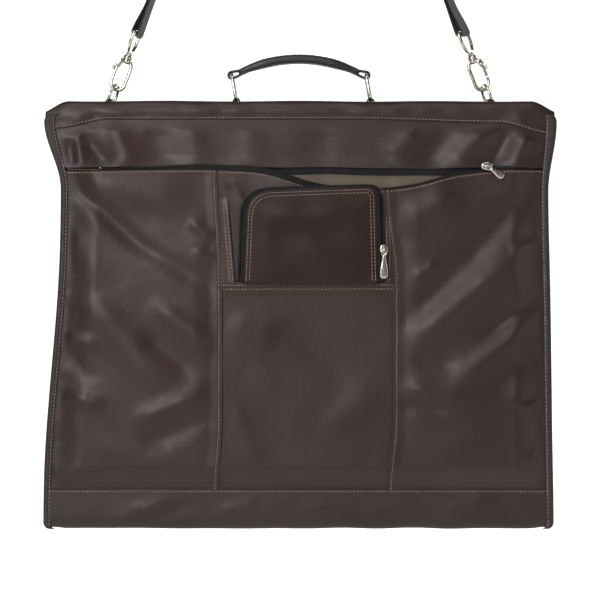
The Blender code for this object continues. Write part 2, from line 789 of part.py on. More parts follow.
POCKET_ROWS = steps(POCKET_FOOT, POCKET_FOOT + POCKET_FOOT_SLOPE, 4)
POCKET_ROWS += edge_rows(POCKET_ROWS.pop(), POCKET_LIP)
SIDE_COLUMNS = steps(0.0, 1.0, 4)


def side_x(share, z, side):
    """Columns 0 to 1 cross the slope by the bag's edge, and 1 to 2 the rest as far as the seam."""
    edge = field_half(z)
    seam = -seam_left(z) if side < 0 else seam_right(z)
    if share <= 1.0:
        return side * (edge - POCKET_SIDE_SLOPE * share)
    return side * mix(edge - POCKET_SIDE_SLOPE, seam + GAP / 2, share - 1.0)


for side, word in ((-1, "left"), (1, "right")):
    wall = sheet(
        "pocket_panel_" + word, SIDE_COLUMNS + steps(1.25, 2.0, 3), POCKET_ROWS,
        lambda share, z: (side_x(share, z, side), pocket_y(side_x(share, z, side), z), z), LEATHER,
    )
    dress(set_pivot(wall, FRONT_FOLD), LEATHER_BROWN)


def centre_x(share, z):
    return mix(seam_left(z) + GAP / 2, seam_right(z) - GAP / 2, share)


centre = sheet(
    "pocket_panel_centre", steps(0.0, 1.0, 4), POCKET_ROWS,
    lambda share, z: (centre_x(share, z), pocket_y(centre_x(share, z), z), z), LEATHER,
)
dress(set_pivot(centre, FRONT_FOLD), LEATHER_BROWN)

LIP_HALF = field_half(POCKET_LIP) - 0.003
lip_columns = steps(-LIP_HALF, -LIP_HALF + POCKET_SIDE_SLOPE, 5) + steps(-0.160, 0.160, 4)
lip_columns += steps(LIP_HALF - POCKET_SIDE_SLOPE, LIP_HALF, 5)
lip_tape = sheet(
    "pocket_zip_tape_front", lip_columns, (POCKET_LIP + 0.0006, LIP_TAPE_TOP),
    lambda x, z: (x, pocket_y(x, POCKET_LIP), z), TAPE,
)
dress(set_pivot(lip_tape, FRONT_FOLD), TAPE_BLACK)
rear_tape = sheet(
    "pocket_zip_tape_rear", steps(-LIP_HALF, LIP_HALF, 6), (REAR_TAPE_FOOT, REAR_TAPE_TOP),
    lambda x, z: (x, -(OUTER_FACE + GAP + TAPE / 2), z), TAPE,
)
dress(set_pivot(rear_tape, FRONT_FOLD), TAPE_BLACK)


# ---------------------------------------------------------------- zip sliders and pullers

FRONTWARD = Vector((0.0, -1.0, 0.0))
DOWN = Vector((0.0, 0.0, -1.0))
BRIDGE_HALF = 0.005
BRIDGE_HEIGHT = 0.0045
BRIDGE_BAR = 0.0018
BRIDGE_SINK = 0.0006
PULLER = 0.0012
PULLER_LIFT = 0.0013
PULLER_HEAD_HALF = 0.0034
PULLER_NECK_AT = 0.010
PULLER_NECK_HALF = 0.0036
PULLER_SLOT = (0.0011, 0.0072)
PULLER_SLOT_HALF = 0.0018
PULLER_BENDS = (0.0005, 0.003, 0.0035, 0.0035, 0.003, 0.0005)


def slider_axes(origin, pointing, normal):
    return axes(origin, pointing, normal.cross(pointing), normal)


def bridge(name, matrix):
    """An arch for a puller. The matrix's X points along the puller, and its Z away from the slider."""
    arch_low = (-BRIDGE_HALF, -BRIDGE_BAR / 2, -BRIDGE_SINK)
    arch_high = (BRIDGE_HALF, BRIDGE_BAR / 2, BRIDGE_HEIGHT)
    arch = block(name, arch_low, arch_high, matrix=matrix)
    hollow_half = BRIDGE_HALF - BRIDGE_BAR
    hollow_low = (-hollow_half, -CUT_OVER, 0.0)
    hollow_high = (hollow_half, CUT_OVER, BRIDGE_HEIGHT - BRIDGE_BAR)
    hollow = block(name + "_hollow", hollow_low, hollow_high, matrix=matrix)
    return combine(arch, hollow, "DIFFERENCE")


def puller(name, matrix, length, width):
    """A puller whose cross bar lies under the bridge, on the matrix's Y axis."""
    half = width / 2
    corners = [
        (-PULLER_SLOT[0], -PULLER_HEAD_HALF),
        (PULLER_NECK_AT, -PULLER_NECK_HALF),
        (length, -half),
        (length, half),
        (PULLER_NECK_AT, PULLER_NECK_HALF),
        (-PULLER_SLOT[0], PULLER_HEAD_HALF),
    ]
    outline = rounded([(a, b, 0.0) for a, b in corners], PULLER_BENDS, count=3)
    near, far = PULLER_SLOT
    slot = [
        (near, -PULLER_SLOT_HALF),
        (far, -PULLER_SLOT_HALF),
        (far, PULLER_SLOT_HALF),
        (near, PULLER_SLOT_HALF),
    ]
    return dress(plate(name, [outline, slot], PULLER, matrix), NICKEL)


POCKET_PULLER_LENGTH = 0.0225
POCKET_PULLER_WIDTH = 0.0085
POCKET_BODY_HALF = 0.0065
POCKET_BODY_FRONT = -0.0368
POCKET_BODY_BACK = -0.0288
POCKET_BODY_HALF_HEIGHT = 0.005
POCKET_PLATE_FRONT = -0.0403
POCKET_PLATE_BACK = -0.0387
POCKET_PLATE_REACH = (-0.006, 0.0055)
POCKET_NECK_HALF = 0.003
POCKET_NECK_FRONT = -0.0391
POCKET_NECK_BACK = -0.0363
POCKET_NECK_REACH = (0.0003, 0.0047)
slider_x = POCKET_SLIDER_X
slider_z = POCKET_SLIDER_Z


def slider_block(name, half, front, back, reach, bevel=0.0):
    """A block of the pocket's slider, with its reach below and above the slider's middle."""
    low = (slider_x - half, front, slider_z + reach[0])
    high = (slider_x + half, back, slider_z + reach[1])
    return block(name, low, high, bevel)


pocket_slider = slider_block(
    "pocket_zip_slider", POCKET_BODY_HALF, POCKET_BODY_FRONT, POCKET_BODY_BACK,
    (-POCKET_BODY_HALF_HEIGHT, POCKET_BODY_HALF_HEIGHT), 0.0008,
)
combine(pocket_slider, slider_block(
    "pocket_slider_plate", POCKET_BODY_HALF, POCKET_PLATE_FRONT, POCKET_PLATE_BACK,
    POCKET_PLATE_REACH, 0.0006,
), "UNION")
combine(pocket_slider, slider_block(
    "pocket_slider_neck", POCKET_NECK_HALF, POCKET_NECK_FRONT, POCKET_NECK_BACK, POCKET_NECK_REACH,
), "UNION")
droop = Vector((math.cos(POCKET_PULLER_DROOP), 0.0, -math.sin(POCKET_PULLER_DROOP)))
pocket_face = Vector((slider_x, POCKET_PLATE_FRONT, slider_z))
combine(pocket_slider, bridge("pocket_slider_bridge", slider_axes(pocket_face, droop, FRONTWARD)), "UNION")
dress(set_pivot(pocket_slider, (slider_x, (POCKET_BODY_FRONT + POCKET_BODY_BACK) / 2, slider_z)), NICKEL)
pocket_pull_axes = slider_axes(pocket_face + FRONTWARD * PULLER_LIFT, droop, FRONTWARD)
puller("pocket_zip_puller", pocket_pull_axes, POCKET_PULLER_LENGTH, POCKET_PULLER_WIDTH)


# ---------------------------------------------------------------- pocket with the U-shaped zip

def u_line(left, right, top):
    """The zip's line round the flap, moved out by these on its two sides and its top."""
    corners = [
        (U_LEFT - left, U_FOOT, 0.0),
        (U_LEFT_TOP - left, U_TOP_LEFT + top, 0.0),
        (U_RIGHT_TOP + right, U_TOP_RIGHT + top, 0.0),
        (U_RIGHT + right, U_FOOT, 0.0),
    ]
    return rounded(corners, [0.0, U_BEND_LEFT, U_BEND_RIGHT, 0.0], closed=False, count=6)


FRONT_PLANE = axes((0.0, 0.0, 0.0), Vector((1.0, 0.0, 0.0)), Vector((0.0, 0.0, 1.0)), FRONTWARD)
pocket_front = TRIM_MIDDLE + POCKET_RISE + LEATHER / 2
u_frame_y = -(pocket_front + GAP + U_FRAME_DEPTH / 2)
u_frame_outline = u_line(U_FRAME_LEFT, U_FRAME_OUT, U_FRAME_TOP)
u_frame_outline += u_line(-U_FRAME_IN, -U_FRAME_IN, -U_FRAME_IN)[::-1]
u_frame_matrix = Matrix.Translation((0.0, u_frame_y, 0.0)) @ FRONT_PLANE
dress(plate("u_zip_tape", [u_frame_outline], U_FRAME_DEPTH, u_frame_matrix), TAPE_BLACK)

u_frame_face = -(pocket_front + GAP + U_FRAME_DEPTH)
U_HINGE = (0.0, u_frame_face - U_FLAP_CLEAR, U_FOOT)
flap_outline = [(p.x, p.y - U_FOOT, 0.0) for p in u_line(0.0, 0.0, 0.0)]
flap_matrix = Matrix.Translation(U_HINGE) @ Matrix.Rotation(U_FLAP_TILT, 4, "X") @ FRONT_PLANE
flap = plate("u_pocket_flap", [flap_outline], LEATHER, flap_matrix)
dress(flap, LEATHER_BROWN)

U_PULLER_LENGTH = 0.032
U_PULLER_WIDTH = 0.0095
U_SLIDER_DEPTH = 0.0030
U_SLIDER_LEFT = 0.0038
U_SLIDER_RIGHT = 0.0062
U_SLIDER_HALF = 0.006
U_CLIP_AT = 0.0047
U_CLIP = 0.0013
U_CLIP_HALF = 0.005
u_face = u_frame_face - U_SLIDER_DEPTH
u_slider = block(
    "u_zip_slider",
    (U_SLIDER_X - U_SLIDER_LEFT, u_face, U_SLIDER_Z - U_SLIDER_HALF),
    (U_SLIDER_X + U_SLIDER_RIGHT, u_frame_face - GAP, U_SLIDER_Z + U_SLIDER_HALF),
    0.0006,
)
u_clip_x = U_SLIDER_X + U_CLIP_AT
combine(u_slider, block(
    "u_slider_clip",
    (u_clip_x, u_frame_face - 0.002, U_SLIDER_Z - U_CLIP_HALF),
    (u_clip_x + U_CLIP, u_frame_face + 0.003, U_SLIDER_Z + U_CLIP_HALF),
), "UNION")
u_origin = Vector((U_SLIDER_X, u_face, U_SLIDER_Z))
combine(u_slider, bridge("u_slider_bridge", slider_axes(u_origin, DOWN, FRONTWARD)), "UNION")
dress(set_pivot(u_slider, u_origin), NICKEL)
u_pull_axes = slider_axes(u_origin + FRONTWARD * PULLER_LIFT, DOWN, FRONTWARD)
puller("u_zip_puller", u_pull_axes, U_PULLER_LENGTH, U_PULLER_WIDTH)


# ---------------------------------------------------------------- garment zip slider

GARMENT_SLIDER_Z = 0.060
GARMENT_SLIDER_HALF = 0.005
GARMENT_SLIDER_REACH = 0.007
GARMENT_PLATE = 0.0014
GARMENT_PULLER_LENGTH = 0.024
GARMENT_PULLER_WIDTH = 0.0085
GARMENT_BRIDGE_HALF = 0.0009
GARMENT_BRIDGE_DEPTH = 0.0020
GARMENT_BRIDGE_REACH = 0.005
GARMENT_HOLLOW_FRONT = -0.0011
GARMENT_HOLLOW_REACH = 0.0034
garment_slider = block(
    "garment_zip_slider",
    (-GARMENT_SLIDER_HALF, GARMENT_PLATE, GARMENT_SLIDER_Z - GARMENT_SLIDER_REACH),
    (GARMENT_SLIDER_HALF, INNER_FACE - 0.0001, GARMENT_SLIDER_Z + GARMENT_SLIDER_REACH),
    0.0004,
)
garment_origin = Vector((0.0, GARMENT_PLATE, GARMENT_SLIDER_Z))
garment_bridge = block(
    "garment_bridge",
    (-GARMENT_BRIDGE_HALF, -GARMENT_BRIDGE_DEPTH, GARMENT_SLIDER_Z - GARMENT_BRIDGE_REACH),
    (GARMENT_BRIDGE_HALF, GARMENT_BRIDGE_DEPTH, GARMENT_SLIDER_Z + GARMENT_BRIDGE_REACH),
)
garment_hollow = block(
    "garment_bridge_hollow",
    (-CUT_OVER, GARMENT_HOLLOW_FRONT, GARMENT_SLIDER_Z - GARMENT_HOLLOW_REACH),
    (CUT_OVER, GARMENT_PLATE, GARMENT_SLIDER_Z + GARMENT_HOLLOW_REACH),
)
combine(garment_bridge, garment_hollow, "DIFFERENCE")
combine(garment_slider, garment_bridge, "UNION")
dress(set_pivot(garment_slider, garment_origin), NICKEL)
garment_pull_axes = slider_axes(garment_origin + FRONTWARD * PULLER_LIFT, DOWN, FRONTWARD)
puller("garment_zip_puller", garment_pull_axes, GARMENT_PULLER_LENGTH, GARMENT_PULLER_WIDTH)


# ---------------------------------------------------------------- hanging hook and hanger bracket

HOOK_BAR_Y = 0.0312
HOOK_BAR_Z = 0.012
HOOK_BAR_HALF = 0.018
HOOK_LOOP_TOP = 0.062
HOOK_LOOP_BENDS = (0.005, 0.005, 0.004)
HOOK_NECK = ((0.0, 0.0585), (0.0, 0.095), (-0.012, 0.112))
HOOK_CURVE = 0.0225
HOOK_CURVE_X = 0.004
HOOK_CURVE_Z = 0.130
HANGING_WIRE = 0.0016
HOOK_TAB_HALF = 0.012
HOOK_TAB_DEPTH = 0.0035
HOOK_TAB_HALF_HEIGHT = 0.0065
loop_corners = [
    (-HOOK_BAR_HALF, HOOK_BAR_Y, HOOK_BAR_Z),
    (HOOK_BAR_HALF, HOOK_BAR_Y, HOOK_BAR_Z),
    (0.0, HOOK_BAR_Y, HOOK_LOOP_TOP),
]
loop_path = rounded(loop_corners, HOOK_LOOP_BENDS, count=4)
hanging = meshed(wire("hanging_hook", loop_path, HANGING_WIRE, cyclic=True))
neck = [(x, HOOK_BAR_Y, z) for x, z in HOOK_NECK]
for angle in steps(math.radians(200), math.radians(-35), 14):
    curve_x = HOOK_CURVE_X + HOOK_CURVE * math.cos(angle)
    curve_z = HOOK_CURVE_Z + HOOK_CURVE * math.sin(angle)
    neck.append((curve_x, HOOK_BAR_Y, curve_z))
combine(hanging, meshed(wire("hanging_neck", neck, HANGING_WIRE)), "UNION")
dress(set_pivot(hanging, (0.0, HOOK_BAR_Y, HOOK_BAR_Z)), NICKEL)
hook_tab = block(
    "hanging_hook_tab",
    (-HOOK_TAB_HALF, TRIM_MIDDLE + LEATHER / 2 + GAP, HOOK_BAR_Z - HOOK_TAB_HALF_HEIGHT),
    (HOOK_TAB_HALF, HOOK_BAR_Y + HOOK_TAB_DEPTH, HOOK_BAR_Z + HOOK_TAB_HALF_HEIGHT),
    0.0012,
)
tab_bore_left = (-HOOK_BAR_HALF - 0.002, HOOK_BAR_Y, HOOK_BAR_Z)
tab_bore_right = (HOOK_BAR_HALF + 0.002, HOOK_BAR_Y, HOOK_BAR_Z)
combine(hook_tab, rod("hook_tab_hole", tab_bore_left, tab_bore_right, HANGING_WIRE + CLEAR), "DIFFERENCE")
dress(hook_tab, LEATHER_GREY)

BRACKET_FLOOR = LEATHER + GAP
BRACKET_TOP = 0.024
BRACKET_HALF = 0.031
BRACKET_INNER_HALF = 0.023
BRACKET_BASE_TOP = 0.0040
BRACKET_DEPTH = 0.006
BRACKET_Y = 0.012
RETAINER_X = -0.027
RETAINER_Z = 0.019
RETAINER_HOLE = 0.0017
RETAINER_PIN = 0.0014
RETAINER_LOW = (-0.030, 0.0154, 0.0165)
RETAINER_HIGH = (0.029, 0.0180, 0.0215)
bracket_outline = [
    (-BRACKET_HALF, BRACKET_FLOOR, 0),
    (BRACKET_HALF, BRACKET_FLOOR, 0),
    (BRACKET_HALF, BRACKET_TOP, 0),
    (BRACKET_INNER_HALF, BRACKET_TOP, 0),
    (BRACKET_INNER_HALF, BRACKET_BASE_TOP, 0),
    (-BRACKET_INNER_HALF, BRACKET_BASE_TOP, 0),
    (-BRACKET_INNER_HALF, BRACKET_TOP, 0),
    (-BRACKET_HALF, BRACKET_TOP, 0),
]
bracket_hole = []
for angle in steps(0.0, 2 * math.pi, 12)[:-1]:
    hole_x = RETAINER_X + RETAINER_HOLE * math.cos(angle)
    hole_z = RETAINER_Z + RETAINER_HOLE * math.sin(angle)
    bracket_hole.append((hole_x, hole_z, 0.0))
bracket_matrix = Matrix.Translation((0.0, BRACKET_Y, 0.0)) @ FRONT_PLANE
bracket = plate("hanger_bracket", [bracket_outline, bracket_hole], BRACKET_DEPTH, bracket_matrix)
dress(bracket, NICKEL)
retainer = block("hanger_retainer", RETAINER_LOW, RETAINER_HIGH, 0.0005)
retainer_pin_near = (RETAINER_X, 0.0084, RETAINER_Z)
retainer_pin_far = (RETAINER_X, 0.0165, RETAINER_Z)
combine(retainer, rod("retainer_pin", retainer_pin_near, retainer_pin_far, RETAINER_PIN, 12), "UNION")
dress(set_pivot(retainer, (RETAINER_X, RETAINER_LOW[1], RETAINER_Z)), NICKEL)


# ---------------------------------------------------------------- hang it all from the strap

hang_point = add("hang_point", None)
hang_point.location = (0.0, 0.0, -HANG_Z)
for obj in list(bpy.data.objects):
    if obj is not hang_point and obj.parent is None:
        obj.parent = hang_point
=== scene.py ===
import math

import bpy
import numpy as np
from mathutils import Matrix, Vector
from mathutils.bvhtree import BVHTree


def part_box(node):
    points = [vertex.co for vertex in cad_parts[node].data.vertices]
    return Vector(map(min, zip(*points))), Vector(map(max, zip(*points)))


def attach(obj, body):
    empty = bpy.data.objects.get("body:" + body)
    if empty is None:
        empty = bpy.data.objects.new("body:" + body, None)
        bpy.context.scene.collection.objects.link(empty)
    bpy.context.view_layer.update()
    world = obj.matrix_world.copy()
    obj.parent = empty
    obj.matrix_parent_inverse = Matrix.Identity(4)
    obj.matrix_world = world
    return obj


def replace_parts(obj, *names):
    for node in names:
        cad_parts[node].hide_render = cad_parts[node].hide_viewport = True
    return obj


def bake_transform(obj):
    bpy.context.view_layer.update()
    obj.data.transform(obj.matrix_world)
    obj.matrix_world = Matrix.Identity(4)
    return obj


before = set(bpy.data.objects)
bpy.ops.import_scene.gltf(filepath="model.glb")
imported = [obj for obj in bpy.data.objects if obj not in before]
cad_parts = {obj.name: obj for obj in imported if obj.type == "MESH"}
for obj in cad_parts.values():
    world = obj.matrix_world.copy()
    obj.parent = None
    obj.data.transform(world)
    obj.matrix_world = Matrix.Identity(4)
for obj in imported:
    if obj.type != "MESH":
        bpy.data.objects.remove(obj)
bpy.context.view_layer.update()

# Heights below are above the bag's own bottom, and Z0 is where that lies in the frame.
Z0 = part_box("front_gusset")[0].z
PI = math.pi


# ------------------------------------------------------------------ materials

def shader_of(name, metallic=0.0, specular=0.5, coat=0.0, coat_roughness=0.2, sheen=0.0):
    material = bpy.data.materials.new(name)
    material.use_nodes = True
    shader = material.node_tree.nodes["Principled BSDF"]
    shader.inputs["Metallic"].default_value = metallic
    shader.inputs["Specular IOR Level"].default_value = specular
    shader.inputs["Coat Weight"].default_value = coat
    shader.inputs["Coat Roughness"].default_value = coat_roughness
    shader.inputs["Sheen Weight"].default_value = sheen
    return material, material.node_tree, shader


def texture(tree, kind, scale, detail=2.0, stretch=(1.0, 1.0, 1.0)):
    place = tree.nodes.new("ShaderNodeTexCoord")
    mapping = tree.nodes.new("ShaderNodeMapping")
    mapping.inputs["Scale"].default_value = stretch
    tree.links.new(place.outputs["Object"], mapping.inputs["Vector"])
    if kind == "noise":
        node = tree.nodes.new("ShaderNodeTexNoise")
        node.inputs["Detail"].default_value = detail
        output = node.outputs["Fac"]
    else:
        node = tree.nodes.new("ShaderNodeTexVoronoi")
        node.feature = kind
        output = node.outputs["Distance"]
    node.inputs["Scale"].default_value = scale
    tree.links.new(mapping.outputs["Vector"], node.inputs["Vector"])
    return output


def ramp(tree, source, low, high, start=0.35, end=0.65):
    node = tree.nodes.new("ShaderNodeValToRGB")
    node.color_ramp.elements[0].position = start
    node.color_ramp.elements[1].position = end
    node.color_ramp.elements[0].color = (*low, 1.0)
    node.color_ramp.elements[1].color = (*high, 1.0)
    tree.links.new(source, node.inputs["Fac"])
    return node.outputs["Color"]


def spread(tree, source, low, high):
    node = tree.nodes.new("ShaderNodeMapRange")
    node.inputs["From Min"].default_value = 0.3
    node.inputs["From Max"].default_value = 0.7
    node.inputs["To Min"].default_value = low
    node.inputs["To Max"].default_value = high
    tree.links.new(source, node.inputs["Value"])
    return node.outputs["Result"]


def bumps(tree, shader, layers):
    """Stacks bump layers of (height, strength, distance)."""
    last = None
    for height, strength, distance in layers:
        bump = tree.nodes.new("ShaderNodeBump")
        bump.inputs["Strength"].default_value = strength
        bump.inputs["Distance"].default_value = distance
        tree.links.new(height, bump.inputs["Height"])
        if last is not None:
            tree.links.new(last, bump.inputs["Normal"])
        last = bump.outputs["Normal"]
    tree.links.new(last, shader.inputs["Normal"])


def leather(name, dark, light, rough, grain=1.0, gloss=0.44):
    material, tree, shader = shader_of(name, specular=gloss, coat=0.04, coat_roughness=0.32)
    broad = texture(tree, "noise", 9.0, 3.0)
    tree.links.new(ramp(tree, broad, dark, light), shader.inputs["Base Color"])
    patches = texture(tree, "noise", 55.0, 4.0)
    tree.links.new(spread(tree, patches, rough - 0.05, rough + 0.06), shader.inputs["Roughness"])
    pebble = texture(tree, "DISTANCE_TO_EDGE", 1100.0)
    pores = texture(tree, "noise", 2600.0, 2.0)
    soft = texture(tree, "noise", 130.0, 3.0)
    layers = [(soft, 0.22 * grain, 0.0012), (pebble, 0.20 * grain, 0.00022), (pores, 0.12 * grain, 0.0001)]
    bumps(tree, shader, layers)
    return material


def cloth_like(name, dark, light, rough, weave, strength, sheen=0.2):
    material, tree, shader = shader_of(name, specular=0.25, sheen=sheen)
    broad = texture(tree, "noise", 30.0, 3.0)
    tree.links.new(ramp(tree, broad, dark, light), shader.inputs["Base Color"])
    fine = texture(tree, "noise", 400.0, 2.0)
    tree.links.new(spread(tree, fine, rough - 0.05, rough + 0.05), shader.inputs["Roughness"])
    warp = tree.nodes.new("ShaderNodeTexWave")
    weft = tree.nodes.new("ShaderNodeTexWave")
    place = tree.nodes.new("ShaderNodeTexCoord")
    for node, direction in ((warp, "X"), (weft, "Z")):
        node.bands_direction = direction
        node.inputs["Scale"].default_value = weave
        node.inputs["Distortion"].default_value = 0.6
        tree.links.new(place.outputs["Object"], node.inputs["Vector"])
    threads = [(node.outputs["Fac"], strength, 0.0003) for node in (warp, weft)]
    bumps(tree, shader, threads + [(fine, 0.2, 0.0002)])
    return material


def metal(name, dark, light, rough):
    material, tree, shader = shader_of(name, metallic=1.0)
    broad = texture(tree, "noise", 60.0, 3.0)
    tree.links.new(ramp(tree, broad, dark, light), shader.inputs["Base Color"])
    scuffs = texture(tree, "noise", 900.0, 4.0, stretch=(1.0, 1.0, 0.25))
    tree.links.new(spread(tree, scuffs, rough - 0.05, rough + 0.10), shader.inputs["Roughness"])
    bumps(tree, shader, [(scuffs, 0.02, 0.00005)])
    return material


BODY = leather("body_leather_finish", (0.0205, 0.0072, 0.0050), (0.0310, 0.0120, 0.0088), 0.48)
# Painted shade: the flap is the body's own leather with a darker base colour, standing in for the shade on
# its slightly downward-facing face.
FLAP_SHADED_LEATHER = leather("flap_leather_painted_shade", (0.0150, 0.0056, 0.0040), (0.0225, 0.0090, 0.0066), 0.50, gloss=0.25)
TRIM = leather("trim_leather_finish", (0.0185, 0.0080, 0.0063), (0.0265, 0.0125, 0.0098), 0.48)
GRIP = leather("grip_leather_finish", (0.016, 0.0150, 0.0160), (0.026, 0.0250, 0.0260), 0.42, grain=1.3)
PIPE = leather("piping_leather_finish", (0.0160, 0.0098, 0.0088), (0.0235, 0.0150, 0.0135), 0.50)
LINING = cloth_like("lining_finish", (0.135, 0.105, 0.078), (0.175, 0.140, 0.105), 0.85, 420.0, 0.35, 0.3)
TAPE = cloth_like("zip_tape_finish", (0.008, 0.008, 0.009), (0.014, 0.014, 0.015), 0.88, 520.0, 0.5)
COIL = cloth_like("zip_coil_finish", (0.012, 0.012, 0.013), (0.022, 0.021, 0.021), 0.55, 300.0, 0.1, 0.0)
THREAD = cloth_like("thread_finish", (0.245, 0.150, 0.112), (0.325, 0.212, 0.162), 0.75, 900.0, 0.3)
DARK_THREAD = cloth_like("dark_thread_finish", (0.030, 0.028, 0.028), (0.050, 0.047, 0.046), 0.75, 900.0, 0.3)
WEBBING = cloth_like("webbing_finish", (0.010, 0.010, 0.0105), (0.018, 0.018, 0.019), 0.82, 260.0, 0.7)
NICKEL = metal("nickel_finish", (0.60, 0.57, 0.47), (0.70, 0.68, 0.58), 0.20)
BOARD = cloth_like("board_finish", (0.15, 0.15, 0.15), (0.22, 0.22, 0.22), 0.7, 100.0, 0.1, 0.0)


# ------------------------------------------------------------------ small maths

def smooth(t):
    t = np.clip(t, 0.0, 1.0)
    return t * t * (3 - 2 * t)


def mix(a, b, t):
    return a + (b - a) * t


def ridge(x, z, x0, z0, x1, z1, width, height):
    """A soft fold of leather from one point to another, in millimetres, fading at both ends."""
    x0, z0, x1, z1, width, height = (v * 0.001 for v in (x0, z0, x1, z1, width, height))
    length = math.hypot(x1 - x0, z1 - z0)
    along = ((x - x0) * (x1 - x0) + (z - z0) * (z1 - z0)) / length ** 2
    across = ((z - z0) * (x1 - x0) - (x - x0) * (z1 - z0)) / length
    spread_at = width * mix(0.75, 1.15, np.clip(along, 0, 1))
    return height * np.exp(-((across / spread_at) ** 2)) * smooth(along / 0.35) * smooth((1 - along) / 0.35)


def ripple(x, z, size, seed):
    """A soft irregular waviness of about this wavelength, between about -1 and 1."""
    rng = np.random.default_rng(seed)
    total = np.zeros(np.broadcast(x, z).shape)
    for _ in range(7):
        angle, phase, wave = rng.uniform(0, PI), rng.uniform(0, 2 * PI), size * rng.uniform(0.7, 1.5)
        bend = 0.35 * np.sin((x * math.sin(angle) - z * math.cos(angle)) * 2 * PI / (size * 2.3) + phase)
        total += np.sin((x * math.cos(angle) + z * math.sin(angle)) * 2 * PI / wave + phase + bend)
    return total / 4.0


# ------------------------------------------------------------------ mesh helpers

FRONTWARD = Vector((0, -1, 0))
DOWN = Vector((0, 0, -1))
UP = Vector((0, 0, 1))
BACKWARD = Vector((0, 1, 0))
LEFTWARD = Vector((-1, 0, 0))
SHEET = 0.0013
STITCH_PITCH = 0.0042
STITCH_LIFT = 0.0002


def at(x, y, z):
    return Vector((x, y, z + Z0))


def dress(obj, material, body):
    """Gives a piece its material and slot, and the body it rides on unless that is None."""
    obj.data.materials.clear()
    obj.data.materials.append(material)
    if body:
        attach(obj, body)
    return obj


def linked(name, data):
    obj = bpy.data.objects.new(name, data)
    bpy.context.scene.collection.objects.link(obj)
    return obj


def mesh_object(name, verts, faces):
    mesh = bpy.data.meshes.new(name)
    mesh.from_pydata([tuple(v) for v in verts], [], [tuple(int(i) for i in face) for face in faces])
    mesh.shade_smooth()
    return linked(name, mesh)


def grid_faces(rows, cols, wrap=False):
    index = np.arange(rows * cols).reshape(rows, cols)
    if wrap:
        index = np.concatenate([index, index[:, :1]], axis=1)
    return np.stack([index[:-1, :-1], index[:-1, 1:], index[1:, 1:], index[1:, :-1]], -1).reshape(-1, 4)


def closed_faces(rows, cols):
    """The faces of a tube made of closed rings, with a flat cap at each end."""
    faces = [tuple(face) for face in grid_faces(rows, cols, wrap=True)]
    faces.append(tuple(range(cols))[::-1])
    faces.append(tuple(range((rows - 1) * cols, rows * cols)))
    return faces


def thicken(obj, thick, offset):
    solid = obj.modifiers.new("thickness", "SOLIDIFY")
    solid.thickness = thick
    solid.offset = offset


def panel(name, x, y, z, material, body, thick=SHEET, flip=False):
    """A sheet of leather or cloth from three grids. Its outer side faces -Y unless flipped."""
    x, y, z = np.broadcast_arrays(x, y, z)
    faces = grid_faces(*x.shape)
    if flip:
        faces = faces[:, ::-1]
    obj = mesh_object(name, np.stack([x, y, z + Z0], -1).reshape(-1, 3), faces)
    thicken(obj, thick, -1.0)
    return dress(obj, material, body)


def surface_of(*objs):
    """A tree to drop points onto, from the plain meshes of these objects."""
    verts, faces = [], []
    for obj in objs:
        start = len(verts)
        verts += [v.co.copy() for v in obj.data.vertices]
        faces += [[start + i for i in face.vertices] for face in obj.data.polygons]
    return BVHTree.FromPolygons(verts, faces)


def drop(tree, x, z, face):
    """Where a line at (x, z) first meets the surface from outside, and its normal there."""
    hit, normal, _, _ = tree.ray_cast(Vector((x, face * 0.3, z + Z0)), Vector((0, -face, 0)), 0.6)
    if hit is None:
        return None
    if normal.y * face < 0:
        normal = -normal
    return hit, normal


def run_of(points):
    """How far along a line each of its points lies."""
    return np.r_[0, np.cumsum(np.linalg.norm(np.diff(points, axis=0), axis=1))]


def resampled(points, count):
    """This many points at even steps along a line through the given ones."""
    points = np.asarray(points, float)
    runs = run_of(points)
    places = np.linspace(0, runs[-1], count)
    return np.stack([np.interp(places, runs, points[:, k]) for k in range(points.shape[1])], -1)


def even(points, pitch):
    """Points about this far apart along a line through the given ones."""
    points = np.asarray(points, float)
    return resampled(points, max(2, int(round(run_of(points)[-1] / pitch)) + 1))


def even_path(points, pitch):
    return [Vector(p) for p in even(points, pitch)]


def step_at(line, i):
    return line[min(i + 1, len(line) - 1)] - line[max(i - 1, 0)]


STITCH_RINGS = ((-0.5, 0.35), (-0.38, 0.85), (0.0, 1.0), (0.38, 0.85), (0.5, 0.35))
STITCH_SIDES = 6


def stitches(name, places, body, material=THREAD, length=0.0030, width=0.00050, tilt=0.10):
    """Short raised threads, one at each (point, normal, direction)."""
    verts, faces = [], []
    one = closed_faces(len(STITCH_RINGS), STITCH_SIDES)
    for point, normal, direction in places:
        normal = Vector(normal).normalized()
        direction = Vector(direction)
        direction = (direction - normal * direction.dot(normal)).normalized()
        direction = (direction + normal.cross(direction) * tilt).normalized()
        side = normal.cross(direction)
        start = len(verts)
        for share, size in STITCH_RINGS:
            sink = normal * (width * (0.25 - 1.1 * (2 * share) ** 4))
            for k in range(STITCH_SIDES):
                a = 2 * PI * k / STITCH_SIDES
                offset = side * (math.cos(a) * width * size) + normal * (math.sin(a) * width * size)
                verts.append(Vector(point) + direction * (share * length) + sink + offset)
        faces += [tuple(start + i for i in face) for face in one]
    return dress(mesh_object(name, verts, faces), material, body)


def sewn(tree, line, face, pitch=STITCH_PITCH):
    """Stitch places along a line of (x, z) points dropped onto a surface."""
    line = even(line, pitch)
    places = []
    for i, (x, z) in enumerate(line):
        found = drop(tree, x, z, face)
        if found is None:
            continue
        hit, normal = found
        step = step_at(line, i)
        places.append((hit + normal * STITCH_LIFT, normal, Vector((step[0], 0, step[1]))))
    return places


